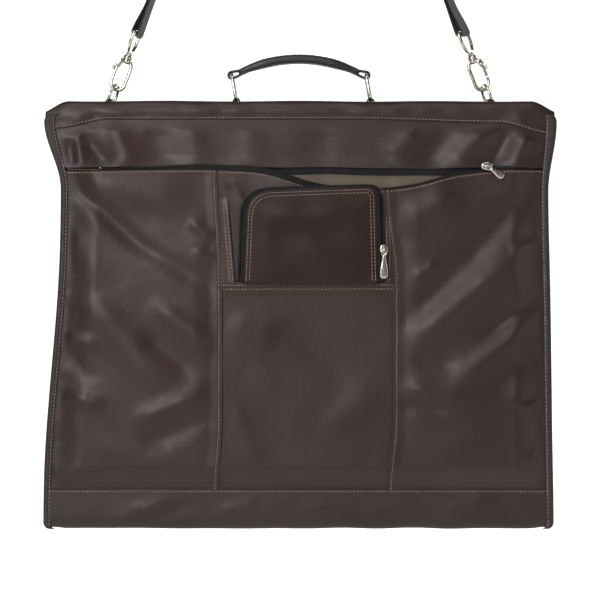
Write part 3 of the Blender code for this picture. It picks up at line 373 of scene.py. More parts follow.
def tube(name, points, radius, material, body, cyclic=False):
    """A round wire along a line of points."""
    curve = bpy.data.curves.new(name, "CURVE")
    curve.dimensions = "3D"
    curve.bevel_depth = radius
    curve.bevel_resolution = 4
    curve.use_fill_caps = True
    spline = curve.splines.new("POLY")
    spline.points.add(len(points) - 1)
    spline.use_cyclic_u = cyclic
    for target, source in zip(spline.points, points):
        target.co = (source[0], source[1], source[2], 1.0)
    spline.use_smooth = True
    return dress(linked(name, curve), material, body)


def rounded(corners, radii, closed=True, count=6):
    """A line through these corners, each rounded off from this far to either side of it."""
    path = []
    last = len(corners) - 1
    for i, corner in enumerate(corners):
        corner = Vector(corner)
        if not closed and i in (0, last):
            path.append(corner)
            continue
        before, after = Vector(corners[i - 1]), Vector(corners[(i + 1) % len(corners)])
        start = corner + (before - corner).normalized() * radii[i]
        end = corner + (after - corner).normalized() * radii[i]
        for k in range(count + 1):
            t = k / count
            path.append(start.lerp(corner, t).lerp(corner.lerp(end, t), t))
    return path


# ------------------------------------------------------------------ camera, floor and light

VIEW_WIDTH = 0.678
VIEW_HEIGHT = 0.2599
CAMERA_DISTANCE = 3.2
CAMERA_FACE = 0.036
camera = linked("camera", bpy.data.cameras.new("camera"))
camera.data.sensor_width = 36.0
camera.data.lens = camera.data.sensor_width * CAMERA_DISTANCE / VIEW_WIDTH
camera.location = at(0.0, -CAMERA_DISTANCE - CAMERA_FACE, VIEW_HEIGHT)
camera.rotation_euler = (PI / 2, 0.0, 0.0)
camera.data.clip_end = 50.0
bpy.context.scene.camera = camera
bpy.context.scene.view_settings.view_transform = "Standard"

floor_material, floor_tree, floor_shader = shader_of("floor_finish", specular=0.1)
floor_tint = texture(floor_tree, "noise", 0.7, 1.0)
floor_colour = ramp(floor_tree, floor_tint, (0.93, 0.93, 0.93), (0.95, 0.95, 0.95))
floor_tree.links.new(floor_colour, floor_shader.inputs["Base Color"])
floor_shader.inputs["Roughness"].default_value = 0.9
floor_shader.inputs["Emission Color"].default_value = (1.0, 1.0, 1.0, 1.0)
floor_place = floor_tree.nodes.new("ShaderNodeTexCoord")
floor_axes = floor_tree.nodes.new("ShaderNodeSeparateXYZ")
floor_glow = floor_tree.nodes.new("ShaderNodeMapRange")
for socket, value in (("From Min", -0.6), ("From Max", 0.6), ("To Min", 0.0), ("To Max", 0.90)):
    floor_glow.inputs[socket].default_value = value
floor_tree.links.new(floor_place.outputs["Object"], floor_axes.inputs["Vector"])
floor_tree.links.new(floor_axes.outputs["Y"], floor_glow.inputs["Value"])
floor_tree.links.new(floor_glow.outputs["Result"], floor_shader.inputs["Emission Strength"])

# The floor runs level behind the bag and curves up into a backdrop.
FLOOR_DROP = 0.16
FLOOR_NEAR, CURVE_START, CURVE_RADIUS, FLOOR_HALF = -9.0, 6.0, 3.0, 12.0
profile = [(FLOOR_NEAR, -FLOOR_DROP)]
for a in np.linspace(0.0, PI / 2, 25):
    profile.append((CURVE_START + CURVE_RADIUS * math.sin(a), CURVE_RADIUS * (1 - math.cos(a)) - FLOOR_DROP))
profile.append((CURVE_START + CURVE_RADIUS, 9.0))
floor_verts = [at(x, y, z) for y, z in profile for x in (-FLOOR_HALF, FLOOR_HALF)]
floor = mesh_object("floor", floor_verts, grid_faces(len(profile), 2))
floor.data.materials.append(floor_material)

world = bpy.context.scene.world or bpy.data.worlds.new("world")
bpy.context.scene.world = world
world.use_nodes = True
world.node_tree.nodes["Background"].inputs["Color"].default_value = (1.0, 1.0, 1.0, 1.0)
world.node_tree.nodes["Background"].inputs["Strength"].default_value = 0.09


def lamp(name, place, target, size, power):
    light = linked(name, bpy.data.lights.new(name, "AREA"))
    light.data.shape = "RECTANGLE"
    light.data.size, light.data.size_y = size
    light.data.energy = power
    light.location = at(*place)
    light.rotation_euler = (at(*target) - light.location).to_track_quat("-Z", "Y").to_euler()


lamp("key", (-1.15, -2.75, 1.15), (0.0, 0.0, 0.25), (1.0, 1.0), 52.0)
lamp("top", (-0.3, -1.3, 2.3), (0.0, 0.0, 0.3), (1.8, 1.0), 16.0)
lamp("fill", (2.3, -1.6, 0.5), (0.0, 0.0, 0.25), (0.8, 1.4), 9.0)
lamp("back", (0.3, 2.6, 1.6), (0.0, 0.0, 0.25), (1.8, 1.2), 30.0)


# ------------------------------------------------------------------ outlines shared by several pieces

HALF_BOTTOM, HALF_WAIST, HALF_EAR = 0.2895, 0.2765, 0.2905
WAIST_Z, EAR_Z = 0.385, 0.462
POCKET_FOOT = 0.0456


def half_width(z):
    """The bag narrows to a waist and widens again to its ears."""
    low = mix(HALF_BOTTOM, HALF_WAIST, smooth(np.asarray(z) / WAIST_Z))
    high = mix(HALF_WAIST, HALF_EAR, smooth((np.asarray(z) - WAIST_Z) / (EAR_Z - WAIST_Z)))
    return np.where(np.asarray(z) < WAIST_Z, low, high)


def seam_left(z):
    """Where the centre panel's left seam lies, drawn in a little at its top and foot."""
    return -0.088 - 0.0060 * smooth((z - 0.279) / 0.133) - 0.0047 * smooth((0.124 - z) / 0.079)


def seam_right(z):
    return 0.105 - 0.010 * smooth((z - 0.279) / 0.109) - 0.0056 * smooth((0.124 - z) / 0.079)


def sway(z):
    """How far the soft bag's middle leans sideways at this height."""
    z = np.asarray(z, float)
    return mix(-0.0017, 0.0052, smooth((z - 0.05) / 0.27)) - 0.0047 * smooth((z - 0.39) / 0.075)


CORNER = 0.008


def edge(side, z):
    """The bag's outer edge, rounded off at its bottom corners."""
    z = np.asarray(z, float)
    low = np.clip(CORNER - z, 0, CORNER)
    return side * (half_width(z) - (CORNER - np.sqrt(np.maximum(CORNER ** 2 - low ** 2, 0.0)))) + sway(z)


def binding_width(z):
    return mix(0.0085, 0.0125, smooth((np.asarray(z) - WAIST_Z) / (EAR_Z - WAIST_Z)))


def field(side, z):
    """Where a half's flat field ends and its side binding starts."""
    return edge(side, np.maximum(z, CORNER)) - side * binding_width(z)


def top_height(x):
    return 0.4822 - 0.0140 * smooth((np.abs(x) - 0.262) / 0.034) + 0.0005 * ripple(x, x * 0, 0.12, 3)


def cap_seam(x):
    """Height of the seam under the top roll, which drops towards the ears."""
    x = np.asarray(x, float)
    left = 0.0100 * smooth((-x - 0.215) / 0.06)
    return 0.4644 - left - 0.0040 * smooth((x - 0.06) / 0.16) - 0.0130 * smooth((x - 0.225) / 0.06)


def through(points, count):
    """Rows of points on a smooth curve through the given ones, each an (x, y, z) of arrays."""
    points = [np.stack(np.broadcast_arrays(*p)) for p in points]
    points = [2 * points[0] - points[1]] + points + [2 * points[-1] - points[-2]]
    rows = []
    spans = len(points) - 3
    for k in range(count):
        place = min(k / (count - 1) * spans, spans - 1e-9)
        i, t = int(place), place - int(place)
        a, b, c, d = points[i:i + 4]
        square, cube = 2 * a - 5 * b + 4 * c - d, 3 * b - a - 3 * c + d
        rows.append(0.5 * (2 * b + (c - a) * t + square * t * t + cube * t ** 3))
    return np.stack(rows)


def loft(name, points, count, material, body, thick=SHEET, flip=False):
    """A sheet whose section is a smooth curve through these points, each an (x, y, z) of arrays."""
    rows = through(points, count).reshape(count, 3, -1)
    return panel(name, rows[:, 0], rows[:, 1], rows[:, 2], material, body, thick, flip)


LIP = (
    (-0.280, 0.4070), (-0.230, 0.4070), (-0.160, 0.4078), (-0.113, 0.4082), (-0.060, 0.4065),
    (-0.034, 0.4035), (-0.005, 0.3935), (0.020, 0.3860), (0.080, 0.3840), (0.101, 0.3850),
    (0.130, 0.3888), (0.154, 0.3955), (0.176, 0.4020), (0.205, 0.4050), (0.230, 0.4080), (0.280, 0.4085),
)
LIP_X, LIP_Z = zip(*LIP)


def lip(x):
    """Height of the pocket's front edge, which sags open left of its slider."""
    total = 0
    for shift in (-0.012, -0.006, 0.0, 0.006, 0.012):
        total = total + np.interp(np.asarray(x) + shift, LIP_X, LIP_Z)
    return total / 5


def upper_edge(x):
    """Height of the upper panel's folded lower edge, above the pocket's zip."""
    return 0.4098 + 0.0006 * ripple(x, x * 0, 0.09, 5) - 0.0016 * np.exp(-(((x - 0.13) / 0.07) ** 2))


# ------------------------------------------------------------------ the leather's height fields

# Each fold is (x, z) of its two ends, its width and its height, in millimetres.
LEFT_FOLDS = (
    (-272, 406, -158, 300, 11, -4.6), (-200, 335, -88, 266, 11, -2.8), (-258, 398, -112, 372, 22, 3.4),
    (-200, 372, -100, 320, 13, -1.6), (-172, 262, -92, 200, 13, 3.8), (-186, 230, -104, 162, 16, -3.6),
    (-256, 282, -140, 146, 22, 4.6), (-268, 352, -222, 268, 18, 2.4), (-100, 160, -200, 116, 12, 4.2),
    (-92, 132, -188, 92, 13, -2.6), (-128, 352, -94, 326, 8, 2.4), (-124, 316, -92, 308, 7, 1.4),
    (-276, 222, -222, 206, 8, 2.2), (-274, 154, -216, 140, 9, 2.6), (-262, 205, -232, 160, 12, -2.0),
    (-250, 105, -130, 66, 18, 1.8),
)
CENTRE_FOLDS = (
    (-86, 236, -20, 216, 20, 2.0), (-70, 180, 30, 120, 26, 1.8), (-20, 250, 70, 150, 22, -1.6),
    (20, 110, 92, 160, 18, 1.6), (-82, 150, -40, 60, 14, 1.4), (-86, 392, -48, 372, 6, -1.6),
    (-80, 400, -56, 360, 7, 1.2), (-30, 80, 80, 64, 16, 1.2),
)
RIGHT_FOLDS = (
    (104, 338, 186, 384, 20, 3.6), (272, 396, 160, 276, 16, -4.4), (190, 306, 112, 226, 15, -2.8),
    (124, 282, 160, 302, 8, 1.8), (256, 318, 108, 196, 17, 5.0), (278, 268, 196, 212, 10, -3.4),
    (274, 244, 156, 148, 15, 4.2), (276, 226, 206, 138, 18, -3.4), (106, 164, 198, 144, 12, 3.2),
    (106, 142, 178, 134, 8, -2.4), (118, 190, 184, 190, 10, -2.2), (278, 326, 234, 314, 8, 2.2),
    (279, 148, 246, 132, 7, 2.6), (279, 96, 254, 72, 9, 2.6), (230, 120, 130, 70, 20, 1.8),
    (108, 381, 270, 383, 3, -0.7),
)
UPPER_FOLDS = (
    (-264, 446, -258, 404, 8, -2.8), (-251, 456, -247, 404, 7, 2.4), (-250, 452, -212, 404, 9, -3.6),
    (-216, 466, -188, 402, 14, 4.2), (-168, 464, -150, 402, 18, -2.4), (-128, 466, -112, 402, 16, 2.2),
    (-60, 464, -50, 400, 20, 1.8), (30, 464, 10, 402, 22, -1.6), (136, 458, 98, 414, 14, 2.4),
    (178, 462, 132, 402, 16, -2.4), (222, 462, 162, 402, 15, 4.2), (242, 464, 210, 402, 11, -4.2),
    (262, 458, 238, 402, 10, 3.4),
)


def folds(x, z, table):
    total = 0.0
    for fold in table:
        total = total + ridge(x, z, *fold)
    return total


def edge_creases(x, z, seed, count=26, low=0.06, high=0.40):
    """Short creases running in from both stitched sides of the leather."""
    rng = np.random.default_rng(seed)
    total = 0.0
    for _ in range(count):
        side = rng.choice((-1, 1))
        height = rng.uniform(low, high)
        start = float(field(side, height)) * 1000
        reach = rng.uniform(14, 38)
        from_z = height * 1000
        to_z = from_z + rng.uniform(-14, 16)
        width, rise = rng.uniform(5.0, 9.0), rng.uniform(0.25, 0.65) * rng.choice((-1, 1))
        total = total + ridge(x, z, start + side * 10, from_z, start - side * reach, to_z, width, rise)
    return total


def side_only(x):
    """One over the two side panels, fading out towards the centre panel's seams."""
    return np.where(x < 0, smooth((-0.092 - x) / 0.03), smooth((x - 0.105) / 0.03))


def inside_of(x, z):
    """How far a place lies inside the field's nearer side."""
    return np.minimum(field(1, z) - x, x - field(-1, z))


def pocket_rise(x, z):
    """How far the filled pocket stands out from the half's face."""
    inside = inside_of(x, z)
    rise = 0.0097 * smooth(np.minimum(inside / 0.036, (z - POCKET_FOOT + 0.002) / 0.030))
    fullness = smooth(inside / 0.16) * smooth((z - POCKET_FOOT) / 0.10) * smooth((0.400 - z) / 0.10)
    return rise + 0.0030 * fullness * side_only(x)


def pocket_soft(x, z, table, seed):
    """The pocket skin's folds, ripples and creases, held flat where it is sewn down."""
    inside = inside_of(x, z)
    held = smooth(inside / 0.014) * smooth((z - POCKET_FOOT) / 0.012)
    soft = folds(x, z, table) + 0.0008 * ripple(x, z, 0.110, seed) + 0.00010 * ripple(x, z, 0.040, seed + 1)
    return held * soft + smooth((z - POCKET_FOOT) / 0.008) * smooth(inside / 0.004) * edge_creases(x, z, 21)


def lip_lean(x, z):
    """The sagging front edge leans out from the pocket's rear wall."""
    open_here = smooth((x + 0.06) / 0.06) * smooth((0.200 - x) / 0.05)
    return 0.0035 * open_here * smooth((z - 0.33) / 0.06)


def rows_between(low, high, count):
    return low + (high - low) * np.linspace(0.0, 1.0, count)[:, None]


# ------------------------------------------------------------------ one half of the bag

FRONT_FACE = 0.0276
FIELD_HALF = 0.28
BAND_TOP = 0.0454
LINING_FOOT, LINING_TOP = 0.004, 0.474


def field_sheet(name, z_low, z_high, columns, rows, depth_of, material, body, face, tuck=0.004):
    """A sheet across a half's field, between its two bindings and two heights given as functions of x."""
    across = np.linspace(-1.0, 1.0, columns)[None, :]
    x = across * FIELD_HALF
    z = rows_between(z_low(x), z_high(x), rows)
    x = mix(field(-1, z) - tuck, field(1, z) + tuck, (across + 1) / 2)
    z = rows_between(z_low(x), z_high(x), rows)
    return panel(name, x, face * depth_of(x, z), z, material, body, flip=face > 0)


def binding(word, side, face, body):
    """The rolled leather edging down one side of a half, with its stitched flange."""
    foot, straight = np.linspace(0.0006, 0.012, 14), np.linspace(0.012, EAR_Z, 150)
    heights = np.concatenate([foot[:-1], straight[:-1], np.linspace(EAR_Z, 0.4700, 12)])
    z = heights[None, :]
    wide = binding_width(z)
    ear = np.clip((z - EAR_Z) / 0.008, 0, 1)
    cut = 0.0065 * (1 - np.sqrt(np.maximum(1 - ear ** 2, 0.0)))
    outer = edge(side, z) - side * cut
    pinch = 0.00025 * ripple(z, z * 0 + side, 0.011, 31 + face) + 0.0002 * ripple(z, z * 0, 0.004, 33 + side)
    lift = 0.0008 * smooth((z - 0.39) / 0.05)

    def point(inward, depth):
        return outer - side * inward, face * (depth + lift + pinch * 1.2), z

    section = [
        point(wide, 0.0283), point(wide - 0.0003, 0.0292), point(wide * 0.72, 0.0296), point(0.0046, 0.0299),
        point(0.0024, 0.0298), point(0.0007, 0.0284), point(0.0, 0.0262), point(0.0007, 0.0238),
        point(0.0022, 0.0226), point(0.0036, 0.0222),
    ]
    return loft("binding_" + word, section, 28, PIPE, body, 0.0012, flip=(side * face) < 0)


def wall_line():
    """The gusset's (x, z) line, from the top of the left side round the bottom to the top of the right."""
    top, bend_top, foot = 0.466, 0.024, 0.0015
    inset, reach, rise = 0.003, 0.022, 0.0225
    line = [(float(edge(-1, z)) + inset, z) for z in np.linspace(top, bend_top, 90)]
    low_left, low_right = float(edge(-1, bend_top)) + inset, float(edge(1, bend_top)) - inset
    bend = [PI / 2 * k / 10 for k in range(1, 10)]
    line += [(low_left + reach * (1 - math.cos(a)), bend_top - rise * math.sin(a)) for a in bend]
    line += [(x, foot) for x in np.linspace(low_left + reach, low_right - reach, 100)]
    line += [(low_right - reach * (1 - math.sin(a)), foot + rise * (1 - math.cos(a))) for a in bend]
    line += [(float(edge(1, z)) - inset, z) for z in np.linspace(bend_top, top, 90)]
    return np.array(line)


def gusset(word, face, body):
    """The soft wall round a half's two sides and bottom."""
    path = wall_line()
    normal = np.gradient(path, axis=0)
    normal = np.stack([normal[:, 1], -normal[:, 0]], -1)
    normal /= np.linalg.norm(normal, axis=1)[:, None]
    across = np.linspace(0.0, 1.0, 12)[:, None]
    arch = np.sin(PI * across)
    sag = 0.0022 * arch + 0.0006 * arch * ripple(run_of(path)[None, :], across * 0.05, 0.028, 41 + face)
    x = path[None, :, 0] - normal[None, :, 0] * sag
    z = path[None, :, 1] - normal[None, :, 1] * sag
    y = face * mix(0.0250, 0.0050, across) + 0 * x
    return panel("gusset_" + word, x, y, z, TRIM, body, 0.0012, flip=face < 0)


BAND_DENTS = (
    (-226, 8, -138, 36, 6, 1.3), (-104, 14, -40, 36, 6, 1.2), (-190, 6, -110, 30, 6, -0.9),
    (60, 34, 130, 12, 7, 0.9), (150, 12, 215, 36, 7, 1.0), (-20, 10, 40, 30, 8, 0.8),
)


def bottom_band(word, face, body, seed):
    """The band along the foot of a half, rolled under at its wavy lower edge."""
    x = np.linspace(0.0, 1.0, 260)[None, :]
    x = mix(field(-1, 0.02) - 0.003, field(1, 0.02) + 0.003, x)
    wave = 0.0009 * ripple(x, x * 0, 0.07, seed) + 0.0003
    rise = wave + 0.0018 * (1 - smooth(inside_of(x, 0.02) / 0.02))
    top = BAND_TOP + 0.0003 * ripple(x, x * 0, 0.08, seed + 1)

    def swell(z):
        return folds(x, z + 0 * x, BAND_DENTS) + 0.00035 * ripple(x, z + 0 * x, 0.045, seed + 2)

    def point(depth, z):
        return x, face * (depth + 0 * x), z + 0 * x

    section = [
        point(0.0283, top + 0.0002), point(0.0292, top), point(0.0293 + swell(0.042) * 0.3, top - 0.004),
        point(0.0296 + swell(0.034), 0.034), point(0.0299 + swell(0.024), 0.024),
        point(0.0298 + swell(0.014), 0.014), point(0.0291, 0.0065 + rise), point(0.0272, 0.0022 + rise),
        point(0.0245, 0.0006 + rise - 0.2 * wave), point(0.0215, 0.0010 + 0.5 * rise),
    ]
    return loft("bottom_band_" + word, section, 34, TRIM, body, flip=face < 0)


# Each dent in the top roll is its place along the roll, its width and its depth in millimetres.
ROLL_DENTS = (
    (-0.250, 0.010, 1.6), (-0.232, 0.008, -1.4), (-0.205, 0.014, 1.0), (0.222, 0.013, -1.5),
    (0.248, 0.011, 1.5), (0.12, 0.03, 0.8),
)
ROLL_HALF = 0.2885


def top_roll(word, face, seed):
    """The padded roll from the spine over the half's top edge and down to its stitched seam."""
    x = np.linspace(-ROLL_HALF, ROLL_HALF, 300)[None, :]
    top, seam = top_height(x), cap_seam(x)
    end = smooth((np.abs(x) - 0.262) / 0.024)
    soft = 0.0007 * ripple(x, x * 0, 0.085, seed) + 0.0004 * ripple(x, x * 0, 0.035, seed + 1)
    dents = 0
    for place, wide, deep in ROLL_DENTS:
        dents = dents + deep * 0.001 * np.exp(-(((x - place) / wide) ** 2))
    full = 0.0310 - 0.0020 * end + soft

    def point(depth, height):
        return x, face * (depth + 0 * x), height + 0 * x

    section = [
        point(0.0172, top - 0.0004), point(0.0196, top + 0.0026), point(0.0232, top + 0.0034),
        point(0.0270 - 0.001 * end, top + 0.0014), point(full - 0.0012, top - 0.0034),
        point(full + 0.4 * dents, mix(top, seam, 0.45)), point(full + dents - 0.0006, mix(top, seam, 0.72)),
        point(0.0297 + 0.5 * dents, seam + 0.0012), point(0.0290 + 0.3 * dents, seam),
        point(0.0280, seam + 0.0002),
    ]
    return loft("top_roll_" + word, section, 36, BODY, None, flip=face < 0)


def inner_panel(word, face, body):
    """The two lining panels on a half's inner side, sewn to the tape of its garment zip."""
    z = rows_between(LINING_FOOT, LINING_TOP, 120)
    ends = smooth((z - LINING_FOOT) / 0.02) * smooth((LINING_TOP - z) / 0.02)
    for side, name in ((-1, "left"), (1, "right")):
        u = np.linspace(0.0, 1.0, 80)[None, :]
        x = mix(side * 0.0085 + 0 * z, edge(side, z) - side * 0.004, u)
        held = smooth(u / 0.06) * smooth((1 - u) / 0.05) * ends
        soft = 0.0009 * ripple(x, z, 0.11, 51 + side + face) + 0.0004 * ripple(x, z, 0.045, 55 + side)
        y = face * (0.0040 + np.clip(held * soft, -0.0009, 0.0014))
        full_name = word + "_" + name
        sheet = panel("inner_lining_" + full_name, x, y, z, LINING, body, 0.0008, flip=(side * face) < 0)
        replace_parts(sheet, word + "_inner_panel_" + name)
        places = []
        for height in np.arange(LINING_FOOT + 0.004, LINING_TOP - 0.004, STITCH_PITCH):
            places.append((at(side * 0.0108, face * 0.0037, height), -face * BACKWARD, UP))
        stitches("inner_stitches_" + full_name, places, body, DARK_THREAD)


def coil(name, line, body, pitch=0.0015, size=0.0008, wide=0.0013):
    """A nylon zip coil: short bars side by side along a line of points, each lying across it."""
    line = even(line, pitch)
    places = []
    for i, point in enumerate(line):
        step = Vector(step_at(line, i)).normalized()
        places.append((Vector(point), FRONTWARD, step.cross(FRONTWARD)))
    return stitches(name, places, body, COIL, wide * 2, size * 0.62, tilt=0.18)


def half(word, face, body):
    for side, side_word in ((-1, "left"), (1, "right")):
        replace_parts(binding(side_word + "_" + word, side, face, body), word + "_binding_" + side_word)
    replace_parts(gusset(word, face, body), word + "_gusset")
    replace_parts(bottom_band(word, face, body, 61 + face), word + "_bottom_band")
    inner_panel(word, face, body)
    z = rows_between(LINING_FOOT, LINING_TOP, 80)
    x = np.linspace(-0.0100, 0.0100, 9)[None, :]
    tape = panel("garment_tape_" + word, x, face * (0.0036 + 0 * x), z, TAPE, body, 0.0006, flip=face > 0)
    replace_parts(tape, word + "_zip_tape")


# ------------------------------------------------------------------ front half: bands, panels and pocket

half("front", -1, "front_half")
half("rear", 1, "rear_half")


def upper_depth(x, z):
    """The creased leather over the pocket, standing a little proud along its folded lower edge."""
    soft = folds(x, z, UPPER_FOLDS) + 0.0005 * ripple(x, z, 0.09, 71) + 0.0022
    held = smooth(inside_of(x, z) / 0.012) * smooth((cap_seam(x) - z) / 0.014)
    return FRONT_FACE + 0.0006 + held * soft + 0.0016 * smooth((0.425 - z) / 0.016)


def under_cap(x):
    return cap_seam(x) + 0.004


upper = field_sheet("upper_panel_front", upper_edge, under_cap, 300, 70, upper_depth, BODY, "front_half", -1)
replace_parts(upper, "front_outer_panel")
field_sheet(
    "upper_backing_front", lambda x: 0 * x + 0.006, lambda x: 0 * x + 0.470, 60, 60,
    lambda x, z: 0.0262 + 0 * x, TRIM, "front_half", -1,
)
field_sheet(
    "pocket_rear_wall", lambda x: 0 * x + 0.050, lambda x: upper_edge(x) - 0.0015, 160, 90,
    lambda x, z: 0.0277 + 0.0006 * smooth((z - 0.3) / 0.05) * (1 + ripple(x, z, 0.06, 75)),
    LINING, "front_half", -1, tuck=-0.012,
)

POCKET_BASE = 0.0280
SKIN_LOW = POCKET_FOOT - 0.002
SEAM_INSET = 0.0037


def pocket_depth(x, z, table, seed):
    return POCKET_BASE + pocket_rise(x, z) + pocket_soft(x, z, table, seed) + lip_lean(x, z)


def side_skin(side, table, seed):
    """A side panel of the pocket, whose inner edge is folded over and sewn onto the centre panel."""
    seam_of = seam_left if side < 0 else seam_right
    u = np.linspace(0.0, 1.0, 190)[None, :]
    v = np.linspace(0.0, 1.0, 330)[:, None]
    z = SKIN_LOW + (0.4085 - POCKET_FOOT) * v
    for _ in range(3):
        x = mix(field(side, z) + side * 0.004, seam_of(z), u)
        z = SKIN_LOW + (lip(x) - SKIN_LOW) * v
    near = np.abs(seam_of(z) - x)
    proud = 0.0016 * smooth(1 - near / 0.016) + 0.0006 * smooth(1 - near / 0.003)
    pucker = 0.00025 * smooth(1 - near / 0.010) * ripple(z, z * 0, 0.013, seed + 7)
    top = np.clip(lip(x) - z, 0, 1)
    roll = -0.0016 * smooth(1 - top / 0.0022) + 0.0005 * smooth(1 - top / 0.009)
    groove = -0.0004 * np.exp(-(((x - seam_of(z) - side * SEAM_INSET) / 0.0013) ** 2))
    depth = pocket_depth(x, z, table, seed) + proud + pucker + roll + groove
    fold_x = np.concatenate([x, x[:, -1:] - side * 0.0004, x[:, -1:] + side * 0.0006], axis=1)
    fold_y = np.concatenate([depth, depth[:, -1:] - 0.0008, depth[:, -1:] - 0.0022], axis=1)
    fold_z = np.concatenate([z, z[:, -1:], z[:, -1:]], axis=1)
    name = "pocket_skin_" + ("left" if side < 0 else "right")
    return panel(name, fold_x, -fold_y, fold_z, BODY, "front_half", 0.0012, flip=side > 0)


skin_left = side_skin(-1, LEFT_FOLDS, 81)
skin_right = side_skin(1, RIGHT_FOLDS, 91)
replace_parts(skin_left, "pocket_panel_left")
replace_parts(skin_right, "pocket_panel_right")

HINGE_SEAM = 0.2818
HINGE_SEWN = (0.0048, 0.0094)


def hinge_seam(x):
    """Height of the folded edge along the foot of the small pocket."""
    return HINGE_SEAM + 0.0004 * ripple(x, x * 0, 0.09, 4)


def centre_skin(name, low, high, rows, folded):
    """The pocket's centre panel between two heights, its top edge folded and sewn twice or plain."""
    u = np.linspace(0.0, 1.0, 130)[None, :]
    v = np.linspace(0.0, 1.0, rows)[:, None]
    x = mix(-0.094, 0.108, u) + 0 * v
    z = low + (high(x) - low) * v
    x = mix(seam_left(z) - 0.005, seam_right(z) + 0.005, u)
    top = np.clip(high(x) - z, 0, 1)
    depth = pocket_depth(x, z, CENTRE_FOLDS, 101) - 0.0002
    if folded:
        depth = depth + 0.0022 * smooth(1 - top / 0.020) - 0.0016 * smooth(1 - top / 0.0016)
        for seam in HINGE_SEWN:
            depth = depth - 0.0004 * np.exp(-(((top - seam) / 0.0012) ** 2))
    else:
        depth = depth - 0.0016 * smooth(1 - top / 0.0022)
    return panel(name, x, -depth, z, BODY, "front_half", 0.0012)


centre_low = centre_skin("pocket_skin_centre", SKIN_LOW, hinge_seam, 260, True)
centre_high = centre_skin("pocket_skin_behind_flap", 0.272, lip, 150, False)
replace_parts(centre_low, "pocket_panel_centre")

# ------------------------------------------------------------------ the pocket's zip

SLIDER_X, SLIDER_Z = 0.211, 0.411
U_SLIDER_X, U_SLIDER_Z, GARMENT_Z = 0.0945, 0.316, 0.060


ZIP_LEFT, ZIP_OPEN, ZIP_RIGHT = -0.226, 0.212, 0.272


def mouth_depth(x):
    return POCKET_BASE + 0.0097 * smooth(inside_of(x, 0.4) / 0.036) + lip_lean(x, 0.405 + 0 * x)


def lip_tape_reach(x):
    """How far the front tape shows above the leather, most where the mouth starts to sag."""
    return 0.0013 + 0.0034 * smooth((x + 0.222) / 0.11) * (1 - smooth((x - 0.01) / 0.06))


def coil_along(name, x, y, z, **sizes):
    line = [at(*place) for place in zip(*np.broadcast_arrays(x, y, z))]
    return coil(name, line, "front_half", **sizes)


zip_x = np.linspace(ZIP_LEFT, ZIP_OPEN, 260)
front_up = np.linspace(0.0, 1.0, 7)[:, None]
front_z = lip(zip_x) - 0.002 + front_up * (lip_tape_reach(zip_x) + 0.002)
front_y = -(mouth_depth(zip_x) - 0.0022 - 0.0008 * front_up)
front_tape = panel("pocket_tape_front", zip_x + 0 * front_z, front_y, front_z, TAPE, "front_half", 0.0006)
coil_along("pocket_tape_front_coil", zip_x, front_y[-1] - 0.0006, front_z[-1] - 0.0002)
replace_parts(front_tape, "pocket_zip_tape_front")

rear_up = np.linspace(0.0, 1.0, 9)[:, None]
rear_low = upper_edge(zip_x) - 0.0066 + 0.0004 * ripple(zip_x, zip_x * 0, 0.06, 9)
rear_z = mix(rear_low, upper_edge(zip_x) + 0.002, rear_up)
rear_y = -0.0290 - 0.0014 * (1 - rear_up)
rear_tape = panel("pocket_tape_rear", zip_x + 0 * rear_z, rear_y, rear_z, TAPE, "front_half", 0.0006)
coil_along("pocket_tape_rear_coil", zip_x, -0.0309, rear_low + 0.0002)
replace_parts(rear_tape, "pocket_zip_tape_rear")

closed_x = np.linspace(ZIP_OPEN, ZIP_RIGHT, 30)
closed_deep = 0.0300 + 0.0070 * (1 - smooth((closed_x - ZIP_OPEN) / 0.05))
closed_y = -np.minimum(closed_deep, mouth_depth(closed_x) - 0.0012)
coil_along("pocket_coil_closed", closed_x, closed_y, 0.4094, pitch=0.0012, size=0.0009, wide=0.0024)
stop = [at(ZIP_LEFT - 0.0002, y, z) for y, z in ((-0.0318, 0.4060), (-0.0322, 0.4082), (-0.0318, 0.4100))]
tube("pocket_tape_stop", stop, 0.0009, NICKEL, "front_half")

# ------------------------------------------------------------------ the small pocket with the U-shaped zip

U_FOOT, U_LEFT, U_LEFT_TOP, U_RIGHT, U_RIGHT_TOP = 0.2815, -0.064, -0.060, 0.0885, 0.086
U_TOP_LEFT, U_TOP_RIGHT, U_BEND_LEFT, U_BEND_RIGHT = 0.383, 0.388, 0.030, 0.014


def u_line(left, right, top, count=14):
    corners = [
        (U_LEFT - left, U_FOOT, 0.0), (U_LEFT_TOP - left, U_TOP_LEFT + top, 0.0),
        (U_RIGHT_TOP + right, U_TOP_RIGHT + top, 0.0), (U_RIGHT + right, U_FOOT, 0.0),
    ]
    path = rounded(corners, [0.0, U_BEND_LEFT + top, U_BEND_RIGHT + top, 0.0], closed=False, count=count)
    return even([(p.x, p.y) for p in path], 0.0018)


def ring_between(outer, inner, rows, count):
    """The x and z of a strip between two lines, in this many rows of so many points."""
    t = np.linspace(0.0, 1.0, rows)[:, None]
    outer, inner = resampled(outer, count), resampled(inner, count)
    return t, mix(outer[None, :, 0], inner[None, :, 0], t), mix(outer[None, :, 1], inner[None, :, 1], t)


